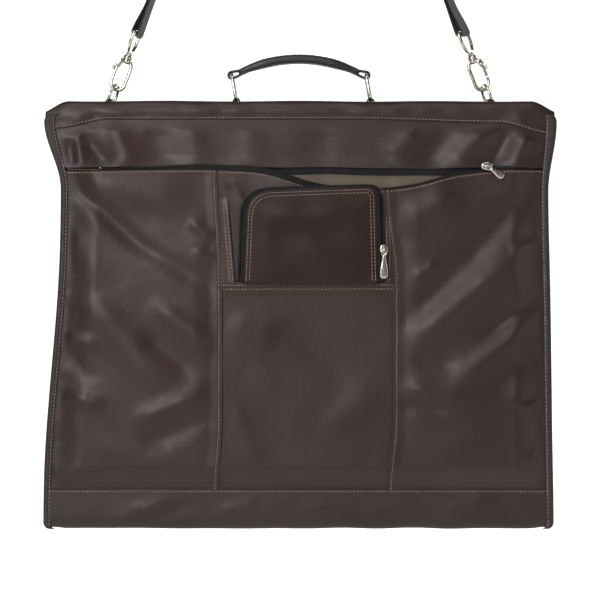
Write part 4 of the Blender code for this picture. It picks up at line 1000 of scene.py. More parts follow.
t, x, z = ring_between(u_line(0.0075, 0.0075, 0.0026), u_line(-0.004, -0.004, -0.004), 8, 220)
y = mix(-0.0392, -0.0412, t) - 0.0004 * np.sin(PI * t)
u_frame = panel("small_pocket_tape", x, y, z, TAPE, "front_half", 0.0008)
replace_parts(u_frame, "u_zip_tape")
back_line = u_line(-0.003, -0.003, -0.003)
t, x, z = ring_between(back_line, np.array([(0.012, 0.300)] * len(back_line)), 30, 220)
panel("small_pocket_lining", x, -0.0398 + 0 * x, z, TAPE, "front_half", 0.0006)
frame_line = np.array([p for p in u_line(0.0050, 0.0042, 0.0022) if p[1] > U_FOOT + 0.0025])
coil_along("small_pocket_coil", frame_line[:, 0], -0.0418, frame_line[:, 1], size=0.0009)
closed_k = np.arange(33)
coil_along(
    "small_pocket_coil_closed", 0.0935 - 0.0004 * np.sin(closed_k), -0.0452, 0.2835 + 0.001 * closed_k,
    pitch=0.0012, size=0.0010, wide=0.0026,
)

# Leather strips sewn down either side of the small pocket's zip.
STRIP_FOOT = HINGE_SEAM - 0.004
STRIP_DEPTH = 0.0385


def strip_edge(z):
    """The left strip's inner edge, which leans outward as it rises."""
    return mix(-0.0735, -0.0835, np.clip((z - HINGE_SEAM) / 0.118, 0.0, 1.0))


u = np.linspace(0.0, 1.0, 14)[None, :]
z = np.linspace(STRIP_FOOT, 0.4010, 80)[:, None]
rise = 0.0024 + 0.0014 * smooth(u / 0.12) + 0.0012 * smooth((u - 0.5) / 0.5)
y = -(STRIP_DEPTH - 0.0030 + smooth((0.3960 - z) / 0.040) * rise)
strip_left = panel(
    "small_pocket_strip_left", mix(seam_left(z) - 0.002, strip_edge(z), u), y, z, BODY, "front_half", 0.0011,
)
z = np.linspace(STRIP_FOOT, 0.3860, 70)[:, None]
y = -(STRIP_DEPTH - 0.0004 + 0.0026 * smooth((1 - u) / 0.45) * smooth((0.3860 - z) / 0.004))
strip_right = panel(
    "small_pocket_strip_right", mix(0.0965, seam_right(z) + 0.002, u), y, z, BODY, "front_half", 0.0011,
)

# The flap is hinged along its foot and leans a little forward.
FLAP_Y = -0.0443
FLAP_TILT = math.radians(3)


def flap_point(x, up, out):
    """A point on the flap, from its height above the hinge and its distance out of the flap's own plane."""
    y = FLAP_Y - up * math.sin(FLAP_TILT) - out * math.cos(FLAP_TILT)
    z = U_FOOT + up * math.cos(FLAP_TILT) - out * math.sin(FLAP_TILT)
    return x, y, z


def flap_grid():
    """The x of a grid over the flap's outline and the grid's height above the hinge."""
    outline = u_line(0.0, 0.0, 0.0)
    rows, bottom = 70, -0.004
    top = float(outline[:, 1].max()) - U_FOOT - 0.0002
    up = (bottom + (top - bottom) * np.sin(np.linspace(0, PI / 2, rows)))[:, None]
    split = np.argmax(outline[:, 1])
    left_line, right_line = outline[:split + 1], outline[split:][::-1]
    low = np.interp(up + U_FOOT, left_line[:, 1], left_line[:, 0])
    high = np.interp(up + U_FOOT, right_line[:, 1], right_line[:, 0])
    x = mix(low, high, np.linspace(0.0, 1.0, 90)[None, :])
    return x, up + 0 * x


FLAP_FOLDS = (
    (-50, 352, 78, 360, 17, 2.0), (-52, 338, 70, 330, 11, -1.2), (-20, 322, 60, 296, 15, 1.3),
    (0, 350, 30, 300, 10, 0.7),
)
flap_x, flap_up = flap_grid()
flap_z = flap_up + U_FOOT
flap_inside = np.minimum.reduce([flap_x - U_LEFT, U_RIGHT - flap_x, 0.3865 - flap_z])
flap_dome = 0.0030 * smooth(flap_inside / 0.034) * smooth((flap_up + 0.01) / 0.03)
flap_soft = folds(flap_x, flap_z, FLAP_FOLDS) + 0.0003 * ripple(flap_x, flap_z, 0.04, 111)
flap_rim = 0.0005 * smooth(1 - flap_inside / 0.003)
flap_out = 0.0006 + flap_dome + smooth(flap_inside / 0.012) * flap_soft - flap_rim
flap = panel("small_pocket_flap", *flap_point(flap_x, flap_up, flap_out), FLAP_SHADED_LEATHER, "u_flap", 0.0012)
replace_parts(flap, "u_pocket_flap")
tape_out = u_line(0.0022, 0.0026, 0.0020)
t, x, z = ring_between(tape_out, u_line(-0.004, -0.004, -0.004), 6, 260)
panel("flap_tape", *flap_point(x, z - U_FOOT, -0.0006 + 0 * x), TAPE, "u_flap", 0.0007)
COIL_END = 0.318
flap_line = [p for p in tape_out if p[1] >= COIL_END or p[0] <= 0]
flap_line = [at(*flap_point(p[0], p[1] - U_FOOT, 0.0002)) for p in flap_line]
coil("flap_coil", flap_line, "u_flap", size=0.0010)

# ------------------------------------------------------------------ rear half's outer skin

REAR_FOLDS = (
    (-250, 440, -180, 330, 20, 2.0), (-150, 430, -120, 260, 26, 1.6), (40, 420, 60, 240, 30, -1.4),
    (170, 430, 140, 280, 24, 2.0), (-220, 260, -60, 160, 22, 1.8), (60, 200, 240, 120, 20, 1.8),
    (-240, 120, -120, 70, 18, -1.4), (250, 300, 190, 220, 14, 1.6), (-30, 130, 120, 80, 22, 1.2),
    (230, 440, 236, 360, 11, -1.6),
)


def rear_depth(x, z):
    held = smooth(inside_of(x, z) / 0.014) * smooth((cap_seam(x) - z) / 0.014) * smooth((z - 0.044) / 0.010)
    soft = 0.55 * folds(x, z, REAR_FOLDS) + 0.0005 * ripple(x, z, 0.09, 121) + 0.0012
    creases = 0.6 * edge_creases(x, z, 131, 20, 0.06, 0.42) * smooth((z - 0.044) / 0.01)
    return FRONT_FACE + 0.0006 + held * soft + creases


rear_skin = field_sheet(
    "outer_panel_rear", lambda x: 0.0440 + 0 * x, under_cap, 260, 220, rear_depth, BODY, "rear_half", 1,
)
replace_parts(rear_skin, "rear_outer_panel")

# ------------------------------------------------------------------ the spine and its rolls

SPINE_TOP = 0.4822
for word, face in (("front", -1), ("rear", 1)):
    roll = top_roll(word, face, 141 + face)
    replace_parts(roll, word + "_cap_band")
    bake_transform(roll)
    xs = np.arange(float(field(-1, 0.46)) - 0.002, float(field(1, 0.46)) + 0.002, 0.0043)
    line = np.stack([xs, cap_seam(xs) + 0.0022], -1)
    stitches("cap_stitches_" + word, sewn(surface_of(roll), line, face), word + "_half")
SPINE_LONG, SPINE_WIDE = 0.2855, 0.0178
x = np.linspace(-SPINE_LONG, SPINE_LONG, 220)[None, :]
y = np.linspace(-SPINE_WIDE, SPINE_WIDE, 14)[:, None]
z = top_height(x) - 0.0003 - 0.0007 * np.cos(y / SPINE_WIDE * PI / 2) + 0.0003 * ripple(x, y, 0.05, 151)
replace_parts(panel("spine_leather", x, y, z, BODY, "spine"), "spine_band")

# ------------------------------------------------------------------ metal shapes

def signed_power(value, power):
    return math.copysign(abs(value) ** power, value)


def turned(name, start, direction, profile, material, body, sides=28):
    """A turned shape along a line from start, its profile given as (distance along, radius)."""
    z = Vector(direction).normalized()
    x = BACKWARD - z * z.y
    if x.length < 1e-6:
        x = Vector((1, 0, 0)) - z * z.x
    x.normalize()
    y = z.cross(x)
    verts = []
    for along_it, radius in profile:
        centre = Vector(start) + z * along_it
        for a in np.linspace(0, 2 * PI, sides, endpoint=False):
            verts.append(centre + x * (radius * math.cos(a)) + y * (radius * math.sin(a)))
    obj = mesh_object(name, verts, closed_faces(len(profile), sides))
    bevel = obj.modifiers.new("edges", "BEVEL")
    bevel.width = 0.0003
    bevel.segments = 2
    bevel.limit_method = "ANGLE"
    bevel.angle_limit = math.radians(40)
    bevel.use_clamp_overlap = True
    return dress(obj, material, body)


def swept(name, centres, halves, thicks, normal, material, body, sides=20, power=0.8, thick_power=None):
    """A bar of oval section along a line: half widths across it and half thicknesses along the normal."""
    centres = [Vector(c) for c in centres]
    thick_power = thick_power or power
    verts = []
    for i, centre in enumerate(centres):
        step = step_at(centres, i).normalized()
        n = Vector(normal)
        n = (n - step * n.dot(step)).normalized()
        side = step.cross(n)
        for a in np.linspace(0, 2 * PI, sides, endpoint=False):
            across = side * (halves[i] * signed_power(math.cos(a), power))
            verts.append(centre + across + n * (thicks[i] * signed_power(math.sin(a), thick_power)))
    return dress(mesh_object(name, verts, closed_faces(len(centres), sides)), material, body)


def teardrop(name, body, eye, pointing, length, width):
    """A zip puller: a small eye at its bar, a slim neck and a wide rounded end, domed on both faces."""
    pointing = pointing.normalized()
    side = FRONTWARD.cross(pointing)
    ring = []
    for a in np.linspace(0, 2 * PI, 24, endpoint=False):
        ring.append(eye + pointing * (0.0026 + 0.0034 * math.cos(a)) + side * (0.0026 * math.sin(a)))
    tube(name + "_eye", ring, 0.0009, NICKEL, body, cyclic=True)
    neck, neck_half, thick = 0.0056, 0.0019, 0.0010
    centres, halves, thicks = [], [], []
    for t in np.linspace(0.0, 1.0, 26):
        s = mix(neck, length, 1 - (1 - t) ** 1.4)
        share = (s - neck) / (length - neck)
        end = max(0.0, (s - (length - width / 2)) / (width / 2))
        wide = mix(neck_half, width / 2, float(smooth(share / 0.75))) * math.sqrt(max(1 - end ** 2.2, 0.0004))
        centres.append(eye + pointing * s)
        halves.append(max(wide, 0.0002))
        thicks.append(thick * mix(1.0, 0.75, share) * math.sqrt(max(1 - end ** 4, 0.01)))
    blade = swept(name, centres, halves, thicks, FRONTWARD, NICKEL, body, sides=24, power=0.75)
    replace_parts(blade, body.split("_")[0] + "_zip_puller")


# A slider's outline, each point as a share of half its length and a share of half its width.
SLIDER_OUTLINE = (
    (-1.0, 0.35), (-0.93, 0.62), (-0.75, 0.86), (-0.4, 0.98), (0.0, 1.0),
    (0.35, 0.90), (0.70, 0.72), (0.92, 0.60), (1.0, 0.40),
)


def slider(name, body, centre, pointing, size, depth):
    """A zip slider's two plates and neck, with the arch that holds its puller."""
    upper_line = [centre + pointing * (t * 0.0064 * size) for t, _ in SLIDER_OUTLINE]
    lower_line = [point - FRONTWARD * depth for point in upper_line]
    halves = [0.0048 * wide * size for _, wide in SLIDER_OUTLINE]
    thicks = [0.0009 * (0.6 if abs(t) > 0.95 else 1.0) for t, _ in SLIDER_OUTLINE]
    face_plate = swept(name, upper_line, halves, thicks, FRONTWARD, NICKEL, body, sides=20, power=0.6)
    neck_foot = centre - FRONTWARD * depth - pointing * (0.0028 * size)
    neck_profile = [(0.0, 0.0020 * size), (depth, 0.0020 * size)]
    turned(name + "_neck", neck_foot, FRONTWARD, neck_profile, NICKEL, body, 16)
    arch = []
    for k in range(13):
        a = PI * k / 12
        reach, rise = -0.0046 * math.cos(a) * size, 0.0008 + 0.0036 * math.sin(a) ** 0.6
        arch.append(centre + pointing * reach + FRONTWARD * rise)
    tube(name + "_arch", arch, 0.0008, NICKEL, body)
    swept(name + "_under", lower_line, halves, thicks, FRONTWARD, NICKEL, body, sides=16, power=0.6)
    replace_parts(face_plate, body.split("_")[0] + "_zip_slider")


DROOP = math.radians(34)
pocket_pointing = Vector((math.cos(DROOP), 0, -math.sin(DROOP)))
slider("pocket_slider_body", "pocket_slider", at(SLIDER_X, -0.0394, SLIDER_Z), LEFTWARD, 0.95, 0.0048)
teardrop(
    "pocket_puller_drop", "pocket_puller", at(SLIDER_X, -0.0419, SLIDER_Z), pocket_pointing, 0.0225, 0.0080,
)
slider("small_pocket_slider", "u_slider", at(U_SLIDER_X, -0.0457, U_SLIDER_Z), DOWN, 0.95, 0.0030)
teardrop("small_pocket_puller", "u_puller", at(U_SLIDER_X, -0.0482, U_SLIDER_Z), DOWN, 0.032, 0.0090)
slider("garment_slider_body", "garment_slider", at(0, 0.0018, GARMENT_Z), DOWN, 0.9, 0.0006)
teardrop("garment_puller_drop", "garment_slider", at(0, 0.0002, GARMENT_Z), DOWN, 0.024, 0.0080)

# ------------------------------------------------------------------ strap

FOOT_X, FOOT_Z, LEAN = 0.216, 0.4864, math.radians(21)
ARC = 0.085
ARC_Z = FOOT_Z + (FOOT_X * math.cos(LEAN) - ARC) / math.sin(LEAN)
LEG = (ARC_Z + ARC * math.sin(LEAN) - FOOT_Z) / math.cos(LEAN)
EYE_FOOT, EYE_BAR = 0.060, 0.084
WEB_HALF, WEB = 0.019, 0.0018
EYE_HALF, EYE_WIRE = 0.0217, 0.0021
TURN = {-1: math.radians(-5), 1: math.radians(18)}
RETURN_END = {-1: 0.290, 1: 0.135}


def along(side):
    return Vector((-side * math.sin(LEAN), 0, math.cos(LEAN)))


def outward(side):
    return Vector((side * math.cos(LEAN), 0, math.sin(LEAN)))


def leg(side, t, out=0.0, depth=0.0):
    """A point at a distance t up the strap's leaning leg, moved outward and back."""
    return at(side * FOOT_X, 0, FOOT_Z) + along(side) * t + outward(side) * out + Vector((0, depth, 0))


def web_axes(side, t):
    turn = TURN[side] * (1 - float(smooth((t - EYE_BAR) / 0.2)))
    width = Vector((0, math.cos(turn), 0)) + outward(side) * math.sin(turn)
    return width, outward(side) * math.cos(turn) - Vector((0, math.sin(turn), 0))


def station(side, t, offset):
    """A place on the webbing with its width and face directions."""
    width, normal = web_axes(side, t)
    return leg(side, t) + normal * offset, width, normal


def arc_point(angle, radius, depth=0.0):
    return at(radius * math.sin(angle), depth, ARC_Z + radius * math.cos(angle))


def leg_stations(side):
    """The webbing's line up one side: its sewn return, the turn round the eye's bar and the long run."""
    found = []
    settle, loop, back = 0.036, 0.0035, -0.0026
    for t in np.linspace(RETURN_END[side], EYE_BAR + settle, 60):
        found.append(station(side, t, back))
    for t in np.linspace(settle, 0.0, 14)[1:-1]:
        found.append(station(side, EYE_BAR + t, mix(-loop, back, float(smooth(t / settle)))))
    for a in np.linspace(PI, 0, 18):
        found.append(station(side, EYE_BAR - loop * math.sin(a), loop * math.cos(a)))
    for t in np.linspace(0.0, settle, 14)[1:]:
        found.append(station(side, EYE_BAR + t, mix(loop, 0.0, float(smooth(t / settle)))))
    for t in np.linspace(EYE_BAR + settle, LEG, 110)[1:]:
        found.append(station(side, t, 0.0))
    return found


ARC_HALF = PI / 2 - LEAN
web_stations = leg_stations(-1)
for a in np.linspace(-ARC_HALF, ARC_HALF, 90)[1:-1]:
    web_stations.append((arc_point(a, ARC), BACKWARD, Vector((math.sin(a), 0, math.cos(a)))))
web_stations += leg_stations(1)[::-1]
across = np.linspace(-1, 1, 25)
web_verts = []
for centre, width, normal in web_stations:
    for v in across:
        rib = 0.00013 * math.cos(v * 12 * PI) * (1 - abs(v) ** 8)
        web_verts.append(centre + width * (v * WEB_HALF) + normal * rib)
web = mesh_object("strap_web", web_verts, grid_faces(len(web_stations), len(across)))
thicken(web, 0.0016, 0.0)
dress(web, WEBBING, "strap")
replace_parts(web, "strap_webbing")

tacks = []
for side, t in ((1, 0.104), (1, 0.131), (-1, 0.112), (-1, 0.285)):
    centre, width, normal = station(side, t, 0.0)
    for v in np.linspace(-0.85, 0.85, 15):
        tacks.append((centre + width * (v * WEB_HALF) + normal * (WEB / 2 + 0.0001), normal, width))
stitches("strap_tacks", tacks, "strap", DARK_THREAD, 0.0022, 0.0004)

PAD_OUT, PAD_THICK, PAD_END = ARC - WEB / 2 - 0.0005, 0.010, math.radians(56)
PAD_ROWS, PAD_COLS = 110, 44


def pad_half(share):
    """The pad's half width at this share of the way from its middle to an end."""
    return mix(0.0295, 0.0235, float(smooth((share - 0.45) / 0.5)))


pad_verts = []
for a in np.linspace(-PAD_END, PAD_END, PAD_ROWS):
    share = abs(a) / PAD_END
    close = math.sqrt(max(1 - max(0.0, (share - 0.80) / 0.20) ** 2.4, 0.0))
    half_wide = pad_half(share) * mix(0.35, 1.0, close)
    half_thick = PAD_THICK / 2 * mix(0.30, 1.0, close) * (1 - 0.04 * math.cos(a * 60))
    for t in np.linspace(0, 2 * PI, PAD_COLS, endpoint=False):
        wide = half_wide * signed_power(math.cos(t), 0.55)
        rise = half_thick * signed_power(math.sin(t), 0.85) * (1 - 0.25 * (abs(wide) / half_wide) ** 4)
        pad_verts.append(arc_point(a, PAD_OUT - PAD_THICK / 2 + min(rise, PAD_THICK / 2), wide))
pad = dress(mesh_object("shoulder_cushion", pad_verts, closed_faces(PAD_ROWS, PAD_COLS)), GRIP, "pad")
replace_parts(pad, "shoulder_pad")
pad_seams = []
for face in (1, -1):
    for a in np.linspace(-PAD_END * 0.86, PAD_END * 0.86, 46):
        place = arc_point(a, PAD_OUT - 0.0002, face * pad_half(abs(a) / PAD_END) * 0.90)
        normal, forward = Vector((math.sin(a), 0, math.cos(a))), Vector((math.cos(a), 0, -math.sin(a)))
        pad_seams.append((place, normal, forward))
stitches("pad_stitches", pad_seams, "pad", DARK_THREAD)

ADJUSTER_T, ADJUSTER_HALF, ADJUSTER_RISE, BAR_HALF = 0.230, 0.0212, 0.0075, 0.0205
centre, width, normal = station(-1, ADJUSTER_T, -0.0013)
glide = []
for a, b in ((-1, -1), (1, -1), (1, 1), (-1, 1)):
    glide.append(centre + width * (a * ADJUSTER_HALF) + along(-1) * (b * ADJUSTER_RISE))
glide_frame = tube("adjuster_frame", rounded(glide, [0.003] * 4), 0.0017, NICKEL, "adjuster", cyclic=True)
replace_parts(glide_frame, "strap_adjuster")
lip_at = [centre + along(-1) * (b * ADJUSTER_RISE) + normal * 0.0030 for b in (-1, 1)]
bars = (("bar", centre, 0.0011), ("lip_low", lip_at[0], 0.0012), ("lip_high", lip_at[1], 0.0012))
for name, place, radius in bars:
    ends = [place - width * BAR_HALF, place + width * BAR_HALF]
    tube("adjuster_" + name, ends, radius, NICKEL, "adjuster")

# ------------------------------------------------------------------ snap hooks and D-rings

BOW, BOW_AT, RING_TURN = 0.008, 0.023, 14
# Profiles for turned shapes, each a distance along and a radius.
BARREL = (
    (0.0, 0.0034), (0.0008, 0.0048), (0.0022, 0.0056), (0.0050, 0.0057), (0.0056, 0.0050),
    (0.0062, 0.0050), (0.0068, 0.0056), (0.0092, 0.0052), (0.0106, 0.0036),
)
RIVET = (
    (0.0, 0.0009), (0.0004, 0.0015), (0.0012, 0.0016), (0.0080, 0.0016), (0.0088, 0.0015), (0.0092, 0.0009),
)
KNOB = (
    (0.0, 0.0017), (0.0016, 0.0015), (0.0022, 0.0024), (0.0036, 0.0027), (0.0046, 0.0021), (0.0049, 0.0010),
)
STEM = ((0.0, 0.0026), (0.0012, 0.0040), (0.0024, 0.0042), (0.0034, 0.0030), (0.0046, 0.0026))
# Places on a snap hook, each as its height along the strap's leg and its distance out of it.
BOW_START = ((0.0505, -0.0040), (0.0470, -0.0066), (0.0425, -0.0079), (0.033, -BOW), (0.028, -BOW))
CHEEK = ((0.0405, 0.0072), (0.0435, 0.0074), (0.0475, 0.0060), (0.0505, 0.0040))
GATE = ((0.0450, 0.0071), (0.0435, 0.0073), (0.0385, 0.0077), (0.0330, 0.0080), (0.0282, 0.0080))


def snap_hook(side, word):
    """A snap hook's bow, barrel and two cheeks, with the pin its gate turns on."""
    body = "hook_" + word
    path = [leg(side, *place) for place in BOW_START]
    for a in np.linspace(0.0, PI, 26):
        path.append(leg(side, BOW_AT - BOW * math.sin(a), -BOW * math.cos(a)))
    path.append(leg(side, 0.0272, BOW))
    path = even_path(path, 0.0009)
    thick = [mix(1.0, 0.82, float(smooth((i / len(path) - 0.75) / 0.25))) for i in range(len(path))]
    halves, thicks = [0.0022 * k for k in thick], [0.0020 * k for k in thick]
    hook = swept("snap_hook_bow_" + word, path, halves, thicks, BACKWARD, NICKEL, body, 18, 0.95)
    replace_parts(hook, "snap_hook_" + word)
    turned("snap_hook_barrel_" + word, leg(side, 0.0462), along(side), BARREL, NICKEL, body, 32)
    for depth, end in ((-0.0031, "_near"), (0.0031, "_far")):
        cheek = [leg(side, t, out, depth) for t, out in CHEEK]
        halves = [0.0016, 0.0029, 0.0030, 0.0024]
        swept("snap_hook_cheek_" + word + end, cheek, halves, [0.0008] * 4, BACKWARD, NICKEL, body, 16, 0.7)
    pin = turned("gate_rivet_" + word, leg(side, 0.0435, 0.0072, -0.0046), BACKWARD, RIVET, NICKEL, body, 16)
    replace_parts(pin, "gate_pin_" + word)


def hook_gate(side, word):
    """The sprung gate across the hook's mouth, with its thumb knob."""
    body = "gate_" + word
    path = even_path([leg(side, *place) for place in GATE], 0.0010)
    count = len(path)
    gate = swept(
        "snap_gate_" + word, path, [0.0019] * count, [0.0018] * count, BACKWARD, NICKEL, body, 16, 0.9,
    )
    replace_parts(gate, "hook_gate_" + word)
    turned("snap_gate_knob_" + word, leg(side, 0.0385, 0.0080), outward(side), KNOB, NICKEL, body, 20)


def strap_eye(side, word):
    """The eye that holds the webbing, and its stem in the hook's barrel."""
    width, _ = web_axes(side, EYE_BAR)
    foot, shoulder, bar = (leg(side, t) for t in (EYE_FOOT, EYE_FOOT + 0.010, EYE_BAR))
    eye_at = [
        foot - width * 0.012, foot + width * 0.012, shoulder + width * EYE_HALF,
        bar + width * EYE_HALF, bar - width * EYE_HALF, shoulder - width * EYE_HALF,
    ]
    line = rounded(eye_at, [0.006, 0.006, 0.005, 0.004, 0.004, 0.005], count=8)
    eye = tube("strap_eye_" + word, line, EYE_WIRE, NICKEL, "strap", cyclic=True)
    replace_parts(eye, "swivel_eye_" + word)
    turned("strap_eye_stem_" + word, leg(side, 0.0560), along(side), STEM, NICKEL, "strap", 24)


def d_ring(side, word):
    """The ring in its spine tab that the snap hook holds."""
    turn = side * math.radians(RING_TURN)
    bar = Vector((-math.sin(turn), math.cos(turn), 0))
    up = (along(side) - bar * along(side).dot(bar)).normalized()
    foot = leg(side, 0.0)
    ring = [foot + bar * -0.0125, foot + bar * 0.0125]
    for a in np.linspace(0.0, PI, 30):
        ring.append(foot + bar * (0.013 * math.cos(a)) + up * (0.007 + 0.014 * math.sin(a)))
    line = rounded(ring, [0.002, 0.002] + [0.0003] * 30, count=3)
    wire = tube("d_ring_wire_" + word, line, 0.0017, NICKEL, "ring_" + word, cyclic=True)
    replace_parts(wire, "d_ring_" + word)


SIDES = ((-1, "left"), (1, "right"))
for side, word in SIDES:
    snap_hook(side, word)
    hook_gate(side, word)
    strap_eye(side, word)
    d_ring(side, word)

# ------------------------------------------------------------------ leather tabs on the spine

TAB_HALF = 0.0125
TAB_BASE = SPINE_TOP + 0.0012


def tab(name, node, x, bar_z, hole, turn):
    """A strip of leather sewn down at both ends and humped over a ring's bar."""
    v = np.linspace(-1, 1, 12)[:, None]
    share = np.linspace(-1, 1, 60)[None, :]
    reach = TAB_HALF * share
    lift = (bar_z + hole + SHEET - TAB_BASE) * np.exp(-((np.abs(reach) / (TAB_HALF * 0.42)) ** 3.2))
    across = v * (0.0088 - 0.0010 * smooth((np.abs(share) - 0.8) / 0.2) ** 2)

    cos, sin = math.cos(turn), math.sin(turn)

    def turned_by(reach, across):
        return x + reach * cos - across * sin, reach * sin + across * cos

    px, py = turned_by(reach, across)
    pz = TAB_BASE + lift - 0.0004 * np.abs(v) ** 6
    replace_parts(panel(name, px, py, pz, GRIP, "spine", 0.0015), node)
    places = []
    for end in (-1, 1):
        for offset in np.linspace(-0.0068, 0.0068, 5):
            place = turned_by(end * TAB_HALF * 0.84, offset)
            places.append((at(*place, TAB_BASE + 0.0003), UP, Vector((-sin, cos, 0))))
    stitches(name + "_stitches", places, "spine", DARK_THREAD, 0.0026)


HANDLE_X, HANDLE_HALF, HANDLE_BAR_Z, LINK = 0.004, 0.0765, 0.487, 0.030
LINK_LEAN = math.radians(-10)
RISE = Vector((math.sin(LINK_LEAN), 0, math.cos(LINK_LEAN)))


def handle_bar(side):
    return at(HANDLE_X + side * HANDLE_HALF, 0, HANDLE_BAR_Z)


def handle_top(side):
    return handle_bar(side) + RISE * LINK


for side, word in SIDES:
    turn, handle_x = side * math.radians(RING_TURN), HANDLE_X + side * HANDLE_HALF
    tab("handle_tab_leather_" + word, "handle_tab_" + word, handle_x, HANDLE_BAR_Z, 0.0026, 0.0)
    tab("ring_tab_leather_" + word, "ring_tab_" + word, side * FOOT_X, FOOT_Z, 0.0021, turn)
    reach = Vector((0, 0.015, 0))
    low, high = handle_bar(side), handle_top(side)
    corners = [low - reach, low + reach, high + reach * 0.92, high - reach * 0.92]
    line = rounded(corners, [0.007] * 4, count=8)
    link = tube("handle_link_" + word, line, 0.0021, NICKEL, "handle_link_" + word, cyclic=True)
    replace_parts(link, "handle_ring_" + word)

GRIP_MIDDLE = (handle_top(-1) + handle_top(1)) / 2
GRIP_HALF, GRIP_RISE, GRIP_SWELL = 0.0690, 0.0155, 0.0030


def grip_line(x, depth=0.0, rise=0.0):
    """A point on the grip's arched middle line, or this far out of it."""
    share = x / HANDLE_HALF
    slope = -2 * GRIP_RISE * share / HANDLE_HALF
    normal = Vector((-slope, 0, 1)).normalized()
    return GRIP_MIDDLE + Vector((x, depth, GRIP_RISE * (1 - share * share))) + normal * rise


def grip_taper(share):
    return 1 - 0.30 * float(smooth((share - 0.55) / 0.42))


grip_mid, grip_wide, grip_tall = [], [], []
for x in np.linspace(-GRIP_HALF, GRIP_HALF, 90):
    share = abs(x) / GRIP_HALF
    close = math.sqrt(max(1 - max(0.0, (share - 0.93) / 0.07) ** 2, 0.0))
    taper = grip_taper(share)
    grip_mid.append(grip_line(x) + UP * (GRIP_SWELL * (1 - share * share)))
    grip_wide.append(0.0096 * taper * mix(0.55, 1.0, close))
    grip_tall.append((0.0056 * taper + 0.00008 * math.sin(x * 900)) * mix(0.45, 1.0, close))
grip = swept("grip_leather", grip_mid, grip_wide, grip_tall, UP, GRIP, "handle", 40, 0.85)
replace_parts(grip, "handle_grip")
grip_seams = []
for face in (-1, 1):
    for x in np.arange(-GRIP_HALF * 0.90, GRIP_HALF * 0.90, 0.0040):
        taper = grip_taper(abs(x) / GRIP_HALF)
        rise = GRIP_SWELL * (1 - (x / GRIP_HALF) ** 2) - 0.0030 * taper
        spot = grip_line(x, face * 0.0084 * taper, rise) + Vector((0, face * 0.0003, -0.0003))
        grip_seams.append((spot, Vector((0, face, -0.7)), grip_line(x + 0.001) - grip_line(x - 0.001)))
stitches("grip_stitches", grip_seams, "handle", DARK_THREAD, 0.0028, 0.0004)

# Leather loops at the grip's ends, each wrapped round its ring's upper bar.
LOOP_RADIUS, LOOP_THICK, LOOP_HALF = 0.0040, 0.0015, 0.0068
LOOP_BELOW = ((0.0600, -0.0022), (0.0660, -0.0026), (0.0710, -0.0034))
LOOP_ABOVE = ((0.0710, 0.0026), (0.0620, 0.0012))
for side, word in SIDES:
    loop = [grip_line(side * x, 0, rise) for x, rise in LOOP_BELOW]
    for a in np.linspace(-PI / 2, PI / 2, 14):
        turn = Vector((side * math.cos(a), 0, math.sin(a)))
        loop.append(handle_top(side) + turn * LOOP_RADIUS)
    loop = even_path(loop + [grip_line(side * x, 0, rise) for x, rise in LOOP_ABOVE], 0.0012)
    thicks, halves = [LOOP_THICK] * len(loop), [LOOP_HALF] * len(loop)
    piece = swept("grip_loop_" + word, loop, thicks, halves, BACKWARD, GRIP, "handle", 20, 0.7, 0.5)
    if word == "left":
        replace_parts(piece, "handle_core")

# ------------------------------------------------------------------ rear hanging hook

HOOK_Y, BAR_Z = 0.0312, 0.012
HOOK_WIRE = 0.0016
LOOP_CORNERS = ((-0.018, BAR_Z), (0.018, BAR_Z), (0.0, 0.062))
NECK = ((0.0, 0.0585), (0.0, 0.080), (-0.0010, 0.095), (-0.0075, 0.106), (-0.0145, 0.114))
BOW_X, BOW_Z, BOW_RADIUS = 0.004, 0.130, 0.0225
TIP = ((-0.001, 0.0018), (0.0, 0.0024), (0.0015, 0.0026), (0.0028, 0.0016))
COLLAR = ((0.0, 0.0020), (0.001, 0.0030), (0.006, 0.0030), (0.007, 0.0020))
loop = rounded([at(x, HOOK_Y, z) for x, z in LOOP_CORNERS], [0.005, 0.005, 0.004], count=8)
hanging = tube("rear_hook_loop", loop, HOOK_WIRE, NICKEL, "hanging_hook", cyclic=True)
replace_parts(hanging, "hanging_hook")
bow = [at(x, HOOK_Y, z) for x, z in NECK]
for a in np.linspace(math.radians(205), math.radians(-35), 30):
    bow.append(at(BOW_X + BOW_RADIUS * math.cos(a), HOOK_Y, BOW_Z + BOW_RADIUS * math.sin(a)))
bow = even_path(bow, 0.0015)
tube("rear_hook_bow", bow, HOOK_WIRE, NICKEL, "hanging_hook")
turned("rear_hook_tip", bow[-1], bow[-1] - bow[-2], TIP, NICKEL, "hanging_hook", 16)
turned("rear_hook_collar", at(0, HOOK_Y, 0.058), UP, COLLAR, NICKEL, "hanging_hook", 20)

HOOK_TAB_Z, HOOK_TAB_HALF, HOOK_TAB_WIDE = BAR_Z + 0.0024, 0.0105, 0.0118
u = np.linspace(-1, 1, 40)[:, None]
v = np.linspace(-1, 1, 18)[None, :]
y = 0.0302 + 0.0040 * np.exp(-((np.abs(u) / 0.42) ** 3.2))
x, z = HOOK_TAB_WIDE * v, HOOK_TAB_Z + HOOK_TAB_HALF * u
hook_tab = panel("rear_hook_tab", x, y, z, GRIP, "rear_half", 0.0014, flip=True)
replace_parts(hook_tab, "hanging_hook_tab")
places = []
for share in (-0.82, 0.82):
    for x in np.linspace(-0.0098, 0.0098, 6):
        places.append((at(x, 0.0304, HOOK_TAB_Z + HOOK_TAB_HALF * share), BACKWARD, Vector((1, 0, 0))))
stitches("rear_hook_tab_stitches", places, "rear_half", DARK_THREAD, 0.0026)

# ------------------------------------------------------------------ stitched seams

front_tree = surface_of(upper, skin_left, skin_right, centre_low, centre_high, strip_left, strip_right)


def sew_front(name, x, z):
    """A row of stitches on the front, along a line given by its x and z."""
    line = np.stack(np.broadcast_arrays(x, z), -1)
    stitches(name, sewn(front_tree, line, -1, 0.0041), "front_half")


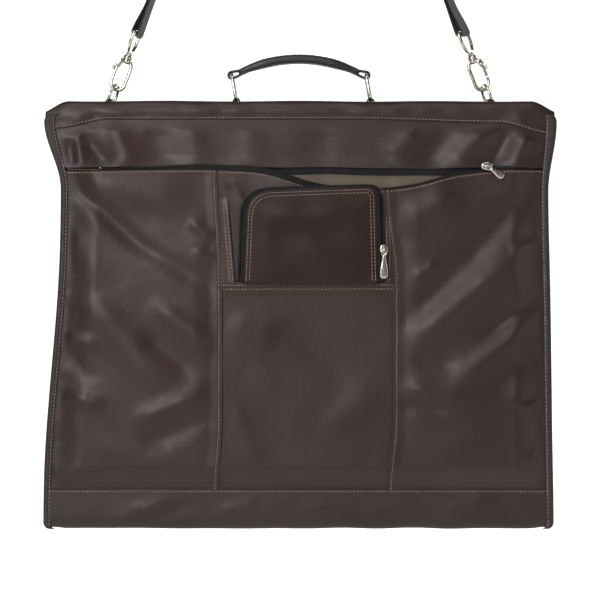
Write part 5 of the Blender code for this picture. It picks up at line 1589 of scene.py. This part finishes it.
heights = np.linspace(POCKET_FOOT + 0.001, 0.4035, 90)
sew_front("seam_stitches_left", seam_left(heights) - SEAM_INSET, heights)
sew_front("seam_stitches_right", seam_right(heights) + SEAM_INSET, heights)
for name, low_x, high_x in (("left", -0.262, -0.0965), ("middle", -0.090, 0.098), ("right", 0.1035, 0.272)):
    xs = np.linspace(low_x, high_x, 60)
    sew_front("lip_stitches_" + name, xs, lip(xs) - 0.0030)
xs = np.linspace(-0.086, 0.1035, 40)
for name, down in zip(("upper", "lower"), HINGE_SEWN):
    sew_front("hinge_seam_stitches_" + name, xs, hinge_seam(xs) - down)
heights = np.linspace(HINGE_SEAM + 0.0017, 0.3700, 42)
for name, shift in (("outer", -0.0062), ("inner", -0.0022)):
    sew_front("strip_stitches_left_" + name, strip_edge(heights) + shift, heights)
heights = np.linspace(HINGE_SEAM + 0.0017, 0.3520, 36)
for name, place in (("inner", 0.0980), ("outer", 0.1012)):
    sew_front("strip_stitches_right_" + name, place, heights)
flap_tree = surface_of(flap)
for name, inset in (("outer", 0.0034), ("inner", 0.0070)):
    line = [(x, z) for x, z in u_line(-inset, -inset, -inset) if z > U_FOOT + 0.0015]
    stitches("flap_stitches_" + name, sewn(flap_tree, line, -1, 0.0039), "u_flap")

for word, face in (("front", -1), ("rear", 1)):
    body = word + "_half"
    xs = np.linspace(float(field(-1, 0.02)) - 0.001, float(field(1, 0.02)) + 0.001, 90)
    line = np.stack([xs, BAND_TOP - 0.0024 + 0 * xs], -1)
    band_tree = surface_of(bpy.data.objects["bottom_band_" + word])
    stitches("band_stitches_" + word, sewn(band_tree, line, face), body)
    for side, side_word in SIDES:
        heights = np.linspace(0.006, 0.4670, 150)
        line = np.stack([edge(side, heights) - side * (binding_width(heights) - 0.0016), heights], -1)
        edge_tree = surface_of(bpy.data.objects["binding_" + side_word + "_" + word])
        stitches("edge_stitches_" + side_word + "_" + word, sewn(edge_tree, line, face), body)

# ------------------------------------------------------------------ CAD nodes that keep their shape

KEPT = {
    "pad_keeper_left": GRIP, "pad_keeper_right": GRIP, "spine_board": BOARD,
    "hanger_bracket": NICKEL, "hanger_retainer": NICKEL,
}
for node, material in KEPT.items():
    kept = bpy.data.objects[node]
    for place in kept.material_slots:
        place.material = material
